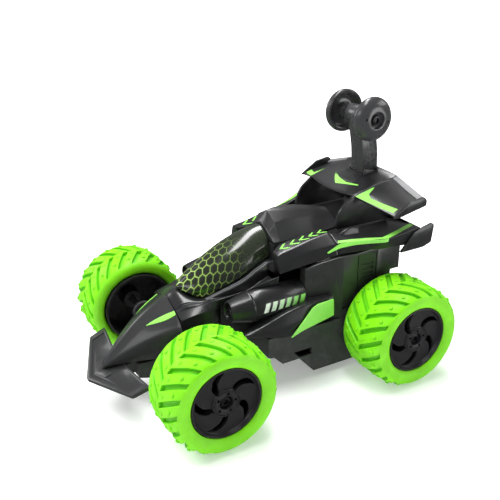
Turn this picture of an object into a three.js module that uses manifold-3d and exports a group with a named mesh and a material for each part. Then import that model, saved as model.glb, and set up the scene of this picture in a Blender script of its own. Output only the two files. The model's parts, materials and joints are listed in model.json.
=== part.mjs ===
// RC stunt car: a low racing body on four big soft tyres, with a wheelie arm on its tail.
// Millimetres. The nose points to -Y, the car's left side is +X and +Z is up.
// The wheelbase middle is y = 0 inside this file, and the wheels stand on z = 0.
import * as THREE from 'three';
import { mergeVertices } from 'three/addons/utils/BufferGeometryUtils.js';
import Module from 'manifold-3d';

const wasm = await Module();
wasm.setup();

// ---- driving dimensions ----
const WHEELBASE = 130;
const FRONT_AXLE_Y = -WHEELBASE / 2;
const REAR_AXLE_Y = WHEELBASE / 2;
const TYRE_RADIUS = 33;
const AXLE_Z = TYRE_RADIUS;
const TYRE_OUTER_X = 82;
const WHEEL_INNER_X = 43.3;
const WHEEL_FACETS = 28;
const NOSE_TIP_Y = -117;
const GAP = 0.3;
const WALL = 2;
const AXLE_RADIUS = 2;
const AXLE_BORE = AXLE_RADIUS + GAP;
const SCREW_BORE = 1.1;
const SCREW_SHANK = 0.8;
const TUB_HALF_WIDTH = 42;
const FLOOR_Z = 5.8;
const DECK_SKIN = 2.4;
const SPINE_HALF_WIDTH = 17;
// The winglets' inner and outer faces.
const WINGLET_IN = 49.6;
const WINGLET_OUT = 51.2;
const TURBINE_X = 29.4;
const TURBINE_Z = 56.4;
const TURBINE_RADIUS = 9.4;
const ARM_PIN_Y = 73;
const ARM_PIN_Z = 154;
const ARM_HALF_WIDTH = 6.2;
const ARM_WHEEL_X = 12.5;
const GEAR_MODULE = 0.75;
const FINAL_TEETH = 24;
const IDLER_SMALL_TEETH = 8;
const IDLER_LARGE_TEETH = 21;
const PINION_TEETH = 8;
const FINAL_GEAR_X = 30;
const IDLER_LARGE_X = 33.6;
const GEAR_WIDTH = 2.6;
const SHAFT_RADIUS = 0.9;
const SMALL_ROUND_FACETS = 16;

const idlerY = REAR_AXLE_Y - GEAR_MODULE * (FINAL_TEETH + IDLER_SMALL_TEETH) / 2;
const motorY = idlerY - GEAR_MODULE * (IDLER_LARGE_TEETH + PINION_TEETH) / 2;

// ---- finishes ----
const finish = (color, roughness, metalness) => (
  new THREE.MeshStandardMaterial({ color, roughness, metalness })
);
const BLACK = finish(0x17181a, 0.4, 0);
const CHARCOAL = finish(0x2a2b2e, 0.35, 0.1);
const SMOKE = finish(0x1c2016, 0.15, 0);
const LIME = finish(0x86d94c, 0.4, 0);
const TYRE_LIME = finish(0x6fee1e, 0.6, 0);
const STEEL = finish(0xb9bcc0, 0.3, 1);
const BRASS = finish(0xc9a552, 0.35, 1);
const NYLON = finish(0xe8e6dc, 0.5, 0);
const BOARD_GREEN = finish(0x1f5f3a, 0.6, 0);
const CELL_BLUE = finish(0x2c58a8, 0.4, 0);

// ---- solids ----
function signedVolume(geometry) {
  const place = geometry.attributes.position;
  const order = geometry.index;
  const corner = [new THREE.Vector3(), new THREE.Vector3(), new THREE.Vector3()];
  let sum = 0;
  for (let i = 0; i < order.count; i += 3) {
    corner.forEach((point, k) => point.fromBufferAttribute(place, order.getX(i + k)));
    sum += corner[0].dot(corner[1].clone().cross(corner[2])) / 6;
  }
  return sum;
}

// Leaves only merged positions, with every face pointing out.
function clean(geometry) {
  const bare = geometry.clone();
  bare.deleteAttribute('normal');
  bare.deleteAttribute('uv');
  const merged = mergeVertices(bare, 1e-4);
  if (signedVolume(merged) < 0) {
    const order = merged.index.array;
    for (let i = 0; i < order.length; i += 3) {
      [order[i], order[i + 1]] = [order[i + 1], order[i]];
    }
  }
  return merged;
}

function toSolid(geometry) {
  const merged = clean(geometry);
  return new wasm.Manifold(new wasm.Mesh({
    numProp: 3,
    vertProperties: new Float32Array(merged.attributes.position.array),
    triVerts: new Uint32Array(merged.index.array),
  }));
}

function toGeometry(manifold) {
  const mesh = manifold.getMesh();
  const geometry = new THREE.BufferGeometry();
  geometry.setAttribute('position', new THREE.BufferAttribute(mesh.vertProperties, 3));
  geometry.setIndex(new THREE.BufferAttribute(mesh.triVerts, 1));
  return geometry;
}

const join = (first, ...rest) => (
  toGeometry(rest.reduce((sum, next) => sum.add(toSolid(next)), toSolid(first)))
);
const cut = (first, ...rest) => (
  toGeometry(rest.reduce((sum, next) => sum.subtract(toSolid(next)), toSolid(first)))
);
const common = (first, second) => toGeometry(toSolid(first).intersect(toSolid(second)));

function outlineShape(points) {
  return new THREE.Shape(points.map(([u, v]) => new THREE.Vector2(u, v)));
}

function extrude(shape, depth) {
  return new THREE.ExtrudeGeometry(shape, { depth, bevelEnabled: false, curveSegments: 6 });
}

// An outline in (y, z), extruded along X from x0 to x1.
function sidePlate(points, x0, x1) {
  const turn = new THREE.Matrix4().makeBasis(
    new THREE.Vector3(0, 1, 0), new THREE.Vector3(0, 0, 1), new THREE.Vector3(1, 0, 0));
  return extrude(outlineShape(points), x1 - x0).applyMatrix4(turn).translate(x0, 0, 0);
}

// An outline in (x, y), extruded up from z0 to z1.
function planPlate(points, z0, z1) {
  return extrude(outlineShape(points), z1 - z0).translate(0, 0, z0);
}

function box(x0, x1, y0, y1, z0, z1) {
  const block = new THREE.BoxGeometry(x1 - x0, y1 - y0, z1 - z0);
  return block.translate((x0 + x1) / 2, (y0 + y1) / 2, (z0 + z1) / 2);
}

// A closed profile of [x, radius] points turned about the X axis, with flats above and below.
function turned(profile, y, z, facets = WHEEL_FACETS) {
  const points = [...profile, profile[0]].map(([x, radius]) => new THREE.Vector2(radius, x));
  return new THREE.LatheGeometry(points, facets, Math.PI / facets).rotateZ(-Math.PI / 2).translate(0, y, z);
}

function rod(radius, x0, x1, y, z, facets = SMALL_ROUND_FACETS) {
  const geometry = new THREE.CylinderGeometry(radius, radius, x1 - x0, facets, 1, false, Math.PI / facets);
  return geometry.rotateZ(-Math.PI / 2).translate((x0 + x1) / 2, y, z);
}

// Rings of [x, y, z] points joined one to the next, closed by a flat cap at each end.
// `flatten` drops the coordinate that the caps share.
function loft(outlines, flatten) {
  const flat = (ring) => ring.map((point) => new THREE.Vector2(...flatten(point)));
  const clockwise = THREE.ShapeUtils.isClockWise(flat(outlines[0]));
  const rings = clockwise ? outlines.map((ring) => ring.slice().reverse()) : outlines;
  const count = rings[0].length;
  const index = [];
  for (let ring = 0; ring + 1 < rings.length; ring += 1) {
    for (let i = 0; i < count; i += 1) {
      const a = ring * count + i;
      const b = ring * count + (i + 1) % count;
      index.push(a, a + count, b, b, a + count, b + count);
    }
  }
  const lastStart = (rings.length - 1) * count;
  for (const [a, b, c] of THREE.ShapeUtils.triangulateShape(flat(rings[0]), [])) {
    index.push(a, b, c);
  }
  for (const [a, b, c] of THREE.ShapeUtils.triangulateShape(flat(rings.at(-1)), [])) {
    index.push(lastStart + a, lastStart + c, lastStart + b);
  }
  const geometry = new THREE.BufferGeometry();
  geometry.setAttribute('position', new THREE.Float32BufferAttribute(rings.flat(2), 3));
  geometry.setIndex(index);
  return geometry;
}

// Sections { y, half } with half an outline of [x, z] points from the top centre line to the bottom one.
function bodyLoft(sections) {
  const rings = sections.map(({ y, half }) => {
    const left = half.map(([x, z]) => [-x, y, z]);
    const right = half.slice(1, -1).reverse().map(([x, z]) => [x, y, z]);
    return [...left, ...right];
  });
  return loft(rings, ([x, , z]) => [x, z]);
}

// Sections { y, ring } with a closed outline of [x, z] points on one side of the car.
function sideLoft(sections) {
  return loft(sections.map(({ y, ring }) => ring.map(([x, z]) => [x, y, z])), ([x, , z]) => [x, z]);
}

const mirrored = (geometry) => geometry.clone().scale(-1, 1, 1);
// The same wheel turned round for the other side of the car.
const turnedRound = (geometry, y) => geometry.clone().translate(0, -y, 0).rotateZ(Math.PI).translate(0, y, 0);

const car = new THREE.Group();
// The frame's origin is the middle of the footprint.
car.position.y = -(NOSE_TIP_Y + REAR_AXLE_Y + TYRE_RADIUS) / 2;

function piece(name, geometry, material) {
  const mesh = new THREE.Mesh(clean(geometry), material);
  mesh.name = name;
  car.add(mesh);
}

function pair(name, leftGeometry, material) {
  piece(`${name}_left`, leftGeometry, material);
  piece(`${name}_right`, mirrored(leftGeometry), material);
}

// ---- chassis ----
function chassisTub() {
  const sill = [[-17, 25], [-13, 24], [-7, 18], [5, 18], [16, FLOOR_Z], [80, FLOOR_Z], [80, 44], [36, 44],
    [36, 38], [-17, 38]];
  const well = [[-15, 27], [-12, 26], [-6, 20], [6, 20], [17, FLOOR_Z + WALL], [78, FLOOR_Z + WALL], [78, 50],
    [-15, 50]];
  const beam = [[-88.4, 17.6], [-81, 15.5], [-60, 15.5], [-16, 20], [-16, 27], [-88.4, 27]];
  const bumperBracket = [[-98, 21.6], [-88, 18], [-86, 27], [-91, 26], [-98, 23.8]];
  const trough = [[-85, 18], [-60, 18], [-14, 22.5], [-14, 30], [-85, 30]];
  const inner = TUB_HALF_WIDTH - WALL;
  const shell = cut(
    join(
      sidePlate(sill, -TUB_HALF_WIDTH, TUB_HALF_WIDTH),
      sidePlate(beam, -12, 12),
      sidePlate(bumperBracket, -6, 6),
    ),
    sidePlate(well, -inner, inner),
    sidePlate(trough, -10, 10),
    // Room for the cowl's foot.
    box(-22, 22, -18, -14, 30.6, 40),
  );
  const switchCage = box(-35.5, -24.8, 28, 44, FLOOR_Z + 1, FLOOR_Z + 9);
  return cut(
    join(shell, switchCage),
    // The power switch's flange slides in the cage, and its knob in the slot below.
    box(-33.8, -26.2, 30, 42, FLOOR_Z + WALL + 0.2, FLOOR_Z + WALL + 2.2),
    box(-32.5, -27.5, 31.5, 41, FLOOR_Z - 1, FLOOR_Z + WALL + 1),
    // The battery door slides in this opening and out under the rear wall.
    box(-24.3, 24.3, 19, 81, FLOOR_Z - 1, FLOOR_Z + WALL + 0.1),
    // Side windows in front of the battery bay.
    sidePlate([[1, 23.5], [14, 23.5], [14, 18.8], [5, 18.8]], -50, 50),
    rod(5.4, -50, 50, REAR_AXLE_Y, AXLE_Z),
  );
}

function batteryDoor() {
  const plate = box(-24, 24, 19.3, 79.7, FLOOR_Z, FLOOR_Z + 1.7);
  const fingerGrip = [70, 73, 76].map((start) => box(-9, 9, start, start + 1.2, FLOOR_Z - 1, FLOOR_Z + 0.5));
  return cut(plate, ...fingerGrip);
}

function batteryPack() {
  const cells = [-14.6, 0, 14.6].map((x) => {
    return new THREE.CylinderGeometry(7.2, 7.2, 50, 12).translate(x, 46, 15.2);
  });
  const wrap = box(-14.6, 14.6, 22, 70, 9.6, 20.8);
  return join(wrap, ...cells);
}

function powerSwitch() {
  const knob = box(-32.2, -27.8, 33, 36.5, FLOOR_Z + 0.2, FLOOR_Z + WALL + 1.2);
  return join(knob, box(-33.5, -26.5, 32, 37.5, FLOOR_Z + WALL + 0.4, FLOOR_Z + WALL + 1.8));
}

function frontAxleHousing() {
  const block = box(-13, 13, FRONT_AXLE_Y - 6, FRONT_AXLE_Y + 6, 27.3, 38);
  const tube = rod(4.4, -40, 40, FRONT_AXLE_Y, AXLE_Z);
  const flanges = [-1, 1].map((side) => rod(7, side * 38 - 1.5, side * 38 + 1.5, FRONT_AXLE_Y, AXLE_Z));
  return cut(join(block, tube, ...flanges), rod(AXLE_BORE, -41, 41, FRONT_AXLE_Y, AXLE_Z));
}

// A stub shaft from x0 out to the wheel, with a blind screw hole in its outer end.
function stubAxle(x0, y) {
  const end = 75.5;
  const depth = 6;
  const profile = [[x0, 0.001], [x0, AXLE_RADIUS], [end, AXLE_RADIUS], [end, SCREW_BORE],
    [end - depth, SCREW_BORE], [end - depth, 0.001]];
  return turned(profile, y, AXLE_Z, SMALL_ROUND_FACETS);
}

// ---- drive ----
function gearShape(teeth) {
  const pitch = GEAR_MODULE * teeth / 2;
  const tip = pitch + 0.8 * GEAR_MODULE;
  const root = pitch - 1.15 * GEAR_MODULE;
  const step = 2 * Math.PI / teeth;
  const points = [];
  for (let tooth = 0; tooth < teeth; tooth += 1) {
    const middle = tooth * step;
    for (const [radius, share] of [[root, -0.3], [tip, -0.11], [tip, 0.11], [root, 0.3]]) {
      const angle = middle + share * step;
      points.push([radius * Math.cos(angle), radius * Math.sin(angle)]);
    }
  }
  return points;
}

// A gear with its axis along X; `phase` turns its first tooth away from +Y, in tooth pitches.
function gear(teeth, phase, bore, x0, y) {
  const turn = phase * 2 * Math.PI / teeth;
  const blank = sidePlate(gearShape(teeth), x0, x0 + GEAR_WIDTH).rotateX(turn).translate(0, y, AXLE_Z);
  return bore > 0 ? cut(blank, rod(bore, x0 - 1, x0 + GEAR_WIDTH + 1, y, AXLE_Z)) : blank;
}

function idlerGear() {
  const small = gear(IDLER_SMALL_TEETH, 0, 0, FINAL_GEAR_X, idlerY);
  const large = gear(IDLER_LARGE_TEETH, 0, 0, IDLER_LARGE_X, idlerY);
  const hub = rod(2.4, FINAL_GEAR_X, IDLER_LARGE_X + GEAR_WIDTH, idlerY, AXLE_Z);
  return cut(join(small, large, hub), rod(1.3, 20, 50, idlerY, AXLE_Z));
}

function motor() {
  const can = rod(10, 1.5, 25, motorY, AXLE_Z, 20);
  const flats = [[10, 20], [-20, -10]].map(([low, high]) => {
    const inset = low > 0 ? -2.4 : 2.4;
    return box(-5, 26, motorY - 20, motorY + 20, AXLE_Z + low + inset, AXLE_Z + high + inset);
  });
  const boss = rod(3, 24, 26.8, motorY, AXLE_Z);
  return cut(join(cut(can, ...flats), boss), rod(SHAFT_RADIUS + GAP, 20, 30, motorY, AXLE_Z));
}

// The motor's shaft turns with the pinion on it.
function pinion() {
  return join(gear(PINION_TEETH, 0, 0, IDLER_LARGE_X, motorY), rod(SHAFT_RADIUS, 21, 37, motorY, AXLE_Z, 12));
}

function gearbox() {
  const x0 = 27.6;
  const x1 = 38.8;
  const block = box(x0, x1, motorY - 6, REAR_AXLE_Y + 12, AXLE_Z - 11.5, AXLE_Z + 11.5);
  const hollow = box(x0 + 1.4, x1 - 1.4, motorY - 4.6, REAR_AXLE_Y + 10.6, AXLE_Z - 10.1, AXLE_Z + 10.1);
  const idlerPin = rod(1, x0 + 1, x1 - 1, idlerY, AXLE_Z);
  const shaftHole = rod(1.4, x0 - 1, x0 + 3, motorY, AXLE_Z);
  const axleHole = rod(3.6, x1 - 3, x1 + 1, REAR_AXLE_Y, AXLE_Z);
  return join(cut(block, hollow, shaftHole, axleHole), idlerPin);
}

function axleBush() {
  return turned([[37.2, AXLE_BORE], [37.2, 3.3], [39.1, 3.3], [39.1, 5], [41, 5], [41, AXLE_BORE]],
    REAR_AXLE_Y, AXLE_Z, SMALL_ROUND_FACETS);
}

// ---- wheels ----
const rimFace = 78;
const rimOuterX = 80.1;

function tyre(y) {
  const flatRadius = 1 / Math.cos(Math.PI / WHEEL_FACETS);
  const profile = [[45, 24], [44.6, 27.5], [47.5, 31], [54, 33], [72.5, 33], [79.5, 31], [TYRE_OUTER_X, 27.5],
    [81.4, 22.8], [79.9, 21.3], [46, 23.7]];
  return turned(profile.map(([x, radius]) => [x, radius * flatRadius]), y, AXLE_Z);
}

// One swirl slot between the hub and the rim, in (y, z) about the axle.
function swirlSlot(turn) {
  const swirl = [[8.8, 0], [10.6, -0.3], [14.5, -0.14], [18, 0.12], [18.2, 0.62], [14, 0.62], [10, 0.44]];
  return swirl.map(([radius, angle]) => [radius * Math.cos(angle + turn), radius * Math.sin(angle + turn)]);
}

function rim(y) {
  const profile = [[WHEEL_INNER_X, 23.2], [rimOuterX, 20.8], [rimOuterX, 19.4], [rimFace, 19], [rimFace, 8],
    [79.3, 7.4], [79.3, 4], [76.3, 4], [76.3, AXLE_BORE], [58, AXLE_BORE], [58, 6], [75.6, 7.6], [75.6, 19.4],
    [WHEEL_INNER_X, 21.8]];
  const slots = [0, 1, 2, 3, 4].map((slot) => {
    const outline = swirlSlot(slot * 2 * Math.PI / 5);
    return sidePlate(outline, 74, 80).translate(0, y, AXLE_Z);
  });
  return cut(turned(profile, y, AXLE_Z), ...slots);
}

function wheelScrew(y) {
  const profile = [[70.5, 0.001], [70.5, SCREW_SHANK], [76.6, SCREW_SHANK], [76.6, 3.4], [78.2, 2.8],
    [78.2, 0.001]];
  return turned(profile, y, AXLE_Z, 12);
}

// ---- nose ----
// Half widths and heights of the nose, from its tip to the seam behind it.
const noseStations = [
  { y: -107, half: 0.8, ridge: 25, sill: 23.8 },
  { y: -100, half: 5.5, ridge: 33.4, sill: 26.6 },
  { y: -90, half: 11.5, ridge: 44, sill: 29 },
  { y: -81, half: 16, ridge: 52, sill: 30 },
  { y: -72, half: 20.3, ridge: 57.4, sill: 30.8 },
  { y: -63.8, half: 24, ridge: 61, sill: 32 },
];
// The cross-section in shares of the half width and of the height.
const noseSection = [[0, 1], [0.31, 0.914], [0.604, 0.81], [0.896, 0.62], [1, 0.35], [0.97, 0], [0, 0]];

function nosePoint(station, share, height, swell = 0) {
  const rise = station.ridge - station.sill;
  return [(station.half + swell) * share, station.sill + (rise + swell) * height];
}

function noseCone() {
  const skin = bodyLoft(noseStations.map((station) => ({
    y: station.y, half: noseSection.map(([share, height]) => nosePoint(station, share, height)),
  })));
  const lining = bodyLoft(noseStations.slice(1).map((station) => ({
    y: station.y + 4,
    half: noseSection.map(([share, height]) => {
      const [x, z] = nosePoint(station, share, height, -WALL);
      return [x, height === 0 ? z - 6 : z];
    }),
  })));
  const axleArch = box(-40, 40, FRONT_AXLE_Y - 8, FRONT_AXLE_Y + 8, 20, AXLE_Z + 6);
  return cut(skin, lining, axleArch);
}

// A thin leaf on the nose's flank, between two shares of its cross-section.
function noseInsert() {
  const leaf = [
    { y: -80.5, low: 0.5, high: 0.52 },
    { y: -76, low: 0.5, high: 0.6 },
    { y: -70, low: 0.51, high: 0.65 },
    { y: -64.2, low: 0.53, high: 0.62 },
  ];
  const stationAt = (y) => {
    const next = noseStations.findIndex((station) => station.y > y);
    const [a, b] = [noseStations[next - 1], noseStations[next]];
    const t = (y - a.y) / (b.y - a.y);
    const mix = (key) => a[key] + (b[key] - a[key]) * t;
    return { half: mix('half'), ridge: mix('ridge'), sill: mix('sill') };
  };
  const heightAt = (share) => 0.914 + (share - 0.31) * (0.81 - 0.914) / (0.604 - 0.31);
  return sideLoft(leaf.map(({ y, low, high }) => {
    const station = stationAt(y);
    const corners = [[low, 0.45], [high, 0.45], [high, 1.1], [low, 1.1]];
    return { y, ring: corners.map(([share, swell]) => {
      const [x, z] = nosePoint(station, share, heightAt(share));
      return [x, z + swell];
    }) };
  }));
}

// The bumper is a flat arrow that climbs to the rear.
function frontBumper() {
  const slope = Math.atan(0.35);
  const outline = [[0, 0], [37, 14.5], [38.3, 25], [13.5, 22], [-13.5, 22], [-38.3, 25], [-37, 14.5]];
  const along = outline.map(([x, y]) => [x, y / Math.cos(slope)]);
  const thick = 2.4;
  return planPlate(along, -thick, 0).rotateX(slope).translate(0, NOSE_TIP_Y, 19.8);
}

// ---- cockpit ----
function cowl() {
  const station = (y, top, shelf, belt, recess, neck, sill) => ({
    y,
    half: [[0, top], shelf, belt, [belt[0], belt[1] - 1.4], ...recess, ...neck, [neck.at(-1)[0], sill],
      [0, sill]],
  });
  const skin = bodyLoft([
    station(-63.4, 61, [7.6, 58.6], [15, 55.8], [[16.6, 53.8], [18, 53]], [[21.3, 50.6], [23.8, 43]], 32),
    station(-57.4, 64.2, [8, 61.4], [17, 57.6], [[17, 55.6], [17.6, 55.2]], [[22.2, 54], [24.2, 48]], 31.4),
    station(-46, 60, [12.3, 59.9], [20.3, 60.4], [[18.6, 58.4], [18.6, 56.8]], [[23, 55.6], [25, 51]], 31),
    station(-41, 61, [13.2, 61.3], [22.4, 62], [[18.8, 60], [18.8, 56]], [[23.4, 55], [25, 50.6]], 31),
    station(-37.5, 62.2, [13.8, 62.4], [23, 62.4], [[19, 60.8], [19, 55]], [[19.6, 54], [19.8, 49]], 31),
    station(-30, 64.4, [14.8, 64.8], [24.6, 63.8], [[19.4, 62.4], [19.4, 55]], [[19.6, 54], [19.8, 49]], 31),
    station(-21, 67.4, [15.4, 67.6], [26.3, 65.9], [[19.4, 64.6], [19.4, 55]], [[19.6, 54], [19.8, 49]], 31),
    station(-10, 72.8, [15, 73], [29.4, 69.8], [[19.4, 68.6], [19.4, 55]], [[19.6, 54], [19.8, 49]], 31),
    station(-3.4, 75.2, [14, 75.4], [31, 71.8], [[19.4, 70.6], [19.4, 55]], [[19.6, 54], [19.8, 49]], 31),
  ]);
  const lining = bodyLoft([-70, -46, -1].map((y, i) => ({
    y, half: [[0, [56, 57, 70][i]], [12, [50, 54, 66][i]], [17, 46], [17, 20], [0, 20]],
  })));
  const axleArch = box(-40, 40, FRONT_AXLE_Y - 8, FRONT_AXLE_Y + 8, 20, AXLE_Z + 6);
  const turbineRoom = turbineBody(GAP);
  return cut(skin, lining, axleArch, turbineRoom, mirrored(turbineRoom));
}

// Stations of the bubble: half width, crown and foot heights.
const canopyStations = [
  { y: -57, half: 1.5, crown: 66.2, foot: 64.9 },
  { y: -52, half: 8.4, crown: 69.6, foot: 62.9 },
  { y: -46, half: 12, crown: 73.6, foot: 60.7 },
  { y: -34, half: 14, crown: 81.4, foot: 64.4 },
  { y: -21, half: 14.8, crown: 88, foot: 68.6 },
  { y: -10, half: 14, crown: 91.8, foot: 73.9 },
  { y: 0.9, half: 12.4, crown: 94, foot: 77.6 },
];

function bubble(stations, steps, inset) {
  return bodyLoft(stations.map(({ y, half, crown, foot }) => {
    const arc = [];
    for (let step = 0; step <= steps; step += 1) {
      const angle = step / steps * Math.PI / 2;
      arc.push([(half - inset) * Math.sin(angle), foot + (crown - inset - foot) * Math.cos(angle) ** 0.85]);
    }
    const base = inset > 0 ? foot - 3 : foot;
    return { y, half: [...arc, [0, base]] };
  }));
}

function canopy() {
  return cut(bubble(canopyStations, 8, 0), bubble(canopyStations.slice(2, -1), 4, 1.6));
}

function engineCover() {
  const station = (y, ridge, base, flank) => ({
    y, half: [[0, ridge], [5 * flank, ridge - 2], [10 * flank, ridge - 5.4],
      [13.6, Math.max(ridge - 11, base + 2)],
      [SPINE_HALF_WIDTH, base + 0.6], [SPINE_HALF_WIDTH, base], [0, base]],
  });
  return bodyLoft([
    station(1.3, 96.6, 86.8, 0.45),
    station(6, 102.5, 86.8, 0.8),
    station(20, 102.6, 86.8, 1),
    station(35, 100.4, 87.1, 1),
    station(50, 96.6, 89, 1),
  ]);
}

function spine() {
  const profile = [[-3, 44.6], [-3, 75.4], [1.2, 75.4], [1.2, 86.4], [33.7, 86.4], [33.7, 44.6]];
  const hollow = [[-1, 40], [-1, 73.4], [3.2, 73.4], [3.2, 84.4], [31.7, 84.4], [31.7, 40]];
  const inner = SPINE_HALF_WIDTH - WALL;
  return cut(sidePlate(profile, -SPINE_HALF_WIDTH, SPINE_HALF_WIDTH), sidePlate(hollow, -inner, inner));
}

// The box beside the cockpit: its top climbs outwards to a sharp edge, and its flank spreads to the belt.
function shoulder() {
  const ring = (inner, innerTop, edge, edgeTop, line, lineZ, belt, beltZ) => [
    [inner, beltZ + 4], [inner, innerTop], [edge, edgeTop], [line, lineZ], [belt, beltZ], [belt - 2, beltZ],
  ];
  return sideLoft([
    { y: -3, ring: ring(22.6, 83.6, 28.6, 84.4, 29.9, 80.5, 31.6, 73.4) },
    { y: 6, ring: ring(17.4, 85, 28, 86.2, 31.2, 82, 33.8, 75.6) },
    { y: 20, ring: ring(17.4, 86, 28, 89.4, 33.6, 84.8, 36.4, 78.2) },
    { y: 33.7, ring: ring(17.4, 86.1, 28, 91.5, 36.7, 87.1, 38.8, 80.4) },
  ]);
}

// ---- tail ----
const deckStations = [
  { y: 34, middle: 86.1, crest: 91.5, edge: 36.8, edgeZ: 87.2, belt: 38.8, beltZ: 80.4 },
  { y: 44, middle: 87.6, crest: 89.9, edge: 40.6, edgeZ: 88.2, belt: 42, beltZ: 81.5 },
  { y: 52, middle: 88.4, crest: 88.8, edge: 44.8, edgeZ: 88.8, belt: 44.8, beltZ: 82 },
  { y: 62.6, middle: 88.5, crest: 89, edge: 50.2, edgeZ: 89.4, belt: 48.8, beltZ: 82.4 },
  { y: 87, middle: 88.5, crest: 89.6, edge: 50.2, edgeZ: 92.2, belt: 49, beltZ: 80.4 },
];
function deckRib() {
  const ring = (top) => [[30, 87.2], [30, top], [31.4, top], [33, 87.2]];
  return sideLoft([{ y: 38.5, ring: ring(90.4) }, { y: 48, ring: ring(93) }, { y: 54, ring: ring(91.6) }]);
}

function rearDeck() {
  const skin = bodyLoft(deckStations.map(({ y, middle, crest, edge, edgeZ, belt, beltZ }) => ({
    y, half: [[0, middle], [SPINE_HALF_WIDTH + 0.4, middle], [28, crest], [edge, edgeZ], [belt, beltZ],
      [belt - WALL, beltZ], [edge - 3, edgeZ - DECK_SKIN], [28, crest - DECK_SKIN],
      [SPINE_HALF_WIDTH + 0.4, middle - DECK_SKIN], [0, middle - DECK_SKIN]],
  })));
  const fin = [[72, 78], [82.4, 90], [96.2, 93.2], [97.7, 91.4], [96.4, 80.3], [90.2, 78.2]];
  const winglet = sidePlate(fin, WINGLET_IN, WINGLET_OUT);
  const backWall = box(-39.6, 39.6, 73, 75, 45, 87);
  const rib = deckRib();
  return join(skin, winglet, mirrored(winglet), rib, mirrored(rib), backWall);
}

function tail() {
  const wall = [[43, 89.8], [42.4, 93], [43.4, 98], [46.4, 103.6], [54.5, 110], [73, 115.4], [88, 118.4],
    [88, 108], [84, 98], [82, 89.8]];
  const roof = [[54.5, 110], [73, 115.4], [83, 116.6], [88, 118.4], [88, 116], [83, 114], [73, 113],
    [56, 108.4]];
  const wing = loft([
    roof.map(([y, z]) => [23, y, z]),
    [[66, 102.8], [76, 105.2], [84, 106.6], [90, 109.4], [90, 107], [84, 104.6], [76, 103.4], [66.6, 101.4]]
      .map(([y, z]) => [50, y, z]),
  ], ([, y, z]) => [y, z]);
  const fin = [[64.5, 102], [77.5, 110.2], [87.5, 111.7], [89.8, 109.3], [89.5, 105.8], [67.4, 101.4]];
  const winglet = sidePlate(fin, WINGLET_IN, WINGLET_OUT);
  const whole = join(
    sidePlate(wall, 22, 24), sidePlate(wall, -24, -22), sidePlate(roof, -23.5, 23.5),
    wing, mirrored(wing), winglet, mirrored(winglet),
    // The socket that the arm's foot plugs into.
    box(-8.6, 8.6, 72, 88, 103, 115.6),
  );
  return cut(whole, box(-ARM_HALF_WIDTH - GAP, ARM_HALF_WIDTH + GAP, 74.2, 86.5, 104.7, 130));
}

// ---- flanks ----
// The pod's outside, grown all round by `room`, closed on its own axis.
function turbineBody(room) {
  const profile = [
    [-37.4, 0], [-37.4, 6.2], [-35.9, 6.7], [-24.4, TURBINE_RADIUS], [11.8, TURBINE_RADIUS], [11.8, 0],
  ];
  const points = profile.map(([y, radius]) => new THREE.Vector2(radius > 0 ? radius + room : 0, y));
  return new THREE.LatheGeometry(points, 20).translate(TURBINE_X, 0, TURBINE_Z);
}

function turbine() {
  const intake = new THREE.CylinderGeometry(5.2, 5.2, 8, 20).translate(TURBINE_X, -37.4, TURBINE_Z);
  return cut(turbineBody(0), intake);
}

function sideFairing() {
  const ring = (out, top, middle, low) => [[36, low + 0.4], [36, top - 0.4], [out - 2.6, top], [out, middle],
    [out - 1.4, low]];
  // The flank panel and its front post stand inside this line.
  const flank = planPlate([[20, 11.9], [36.3, 11.9], [40.3, 30.2], [42.3, 36], [20, 60]], 0, 100);
  const pod = sideLoft([
    { y: -32, ring: ring(41, 44.8, 43.9, 42.8) },
    { y: -22, ring: ring(43.8, 47.6, 44.6, 40.8) },
    { y: -4, ring: ring(45.6, 53.6, 45, 37.2) },
    { y: 10, ring: ring(45.8, 55.8, 47, 38.8) },
    { y: 28, ring: ring(45.8, 56.8, 50, 44.2) },
  ]);
  return cut(pod, flank, turbineBody(GAP), box(20, TUB_HALF_WIDTH + GAP, -40, 60, 0, 38.3));
}

function fairingPanel() {
  return sidePlate([[-4, 37.8], [11, 54], [14.6, 55.6], [25.8, 56.2], [26.4, 45], [3.5, 40.4]], 46.1, 46.9);
}

function sidePanel() {
  const plan = planPlate([[29.5, 12.2], [36, 12.2], [40, 30.2], [TUB_HALF_WIDTH, 36], [TUB_HALF_WIDTH, 79.5],
    [TUB_HALF_WIDTH - WALL, 79.5], [TUB_HALF_WIDTH - WALL, 36.6], [38, 31], [34, 14.2], [29.5, 14.2]],
  20, 100);
  const outline = [[12, 38.4], [12, 74.6], [20, 77.2], [34, 79.8], [62.6, 80.6], [79.5, 79.4], [79.5, 63],
    [72, 63], [72, 44.4], [36, 44.4], [36, 38.4]];
  return common(plan, sidePlate(outline, 20, 60));
}

// ---- wheelie arm ----
function stuntArm() {
  const stalk = [[74.5, 105], [86.2, 105], [86.2, 118], [85.4, 132], [82.4, 146], [79.6, 155], [76.4, 159.6],
    [70.6, 159.6], [67.4, 156.4], [67.4, 151.8], [71, 145], [73.6, 132], [74.5, 118]];
  const bore = rod(AXLE_BORE, -10, 10, ARM_PIN_Y, ARM_PIN_Z);
  return cut(sidePlate(stalk, -ARM_HALF_WIDTH, ARM_HALF_WIDTH), bore);
}

function armPin() {
  const end = 17.2;
  const depth = 5;
  return turned([[-end + depth, 0.001], [-end + depth, SCREW_BORE], [-end, SCREW_BORE], [-end, AXLE_RADIUS],
    [end, AXLE_RADIUS], [end, SCREW_BORE], [end - depth, SCREW_BORE], [end - depth, 0.001]],
  ARM_PIN_Y, ARM_PIN_Z, SMALL_ROUND_FACETS);
}

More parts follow.
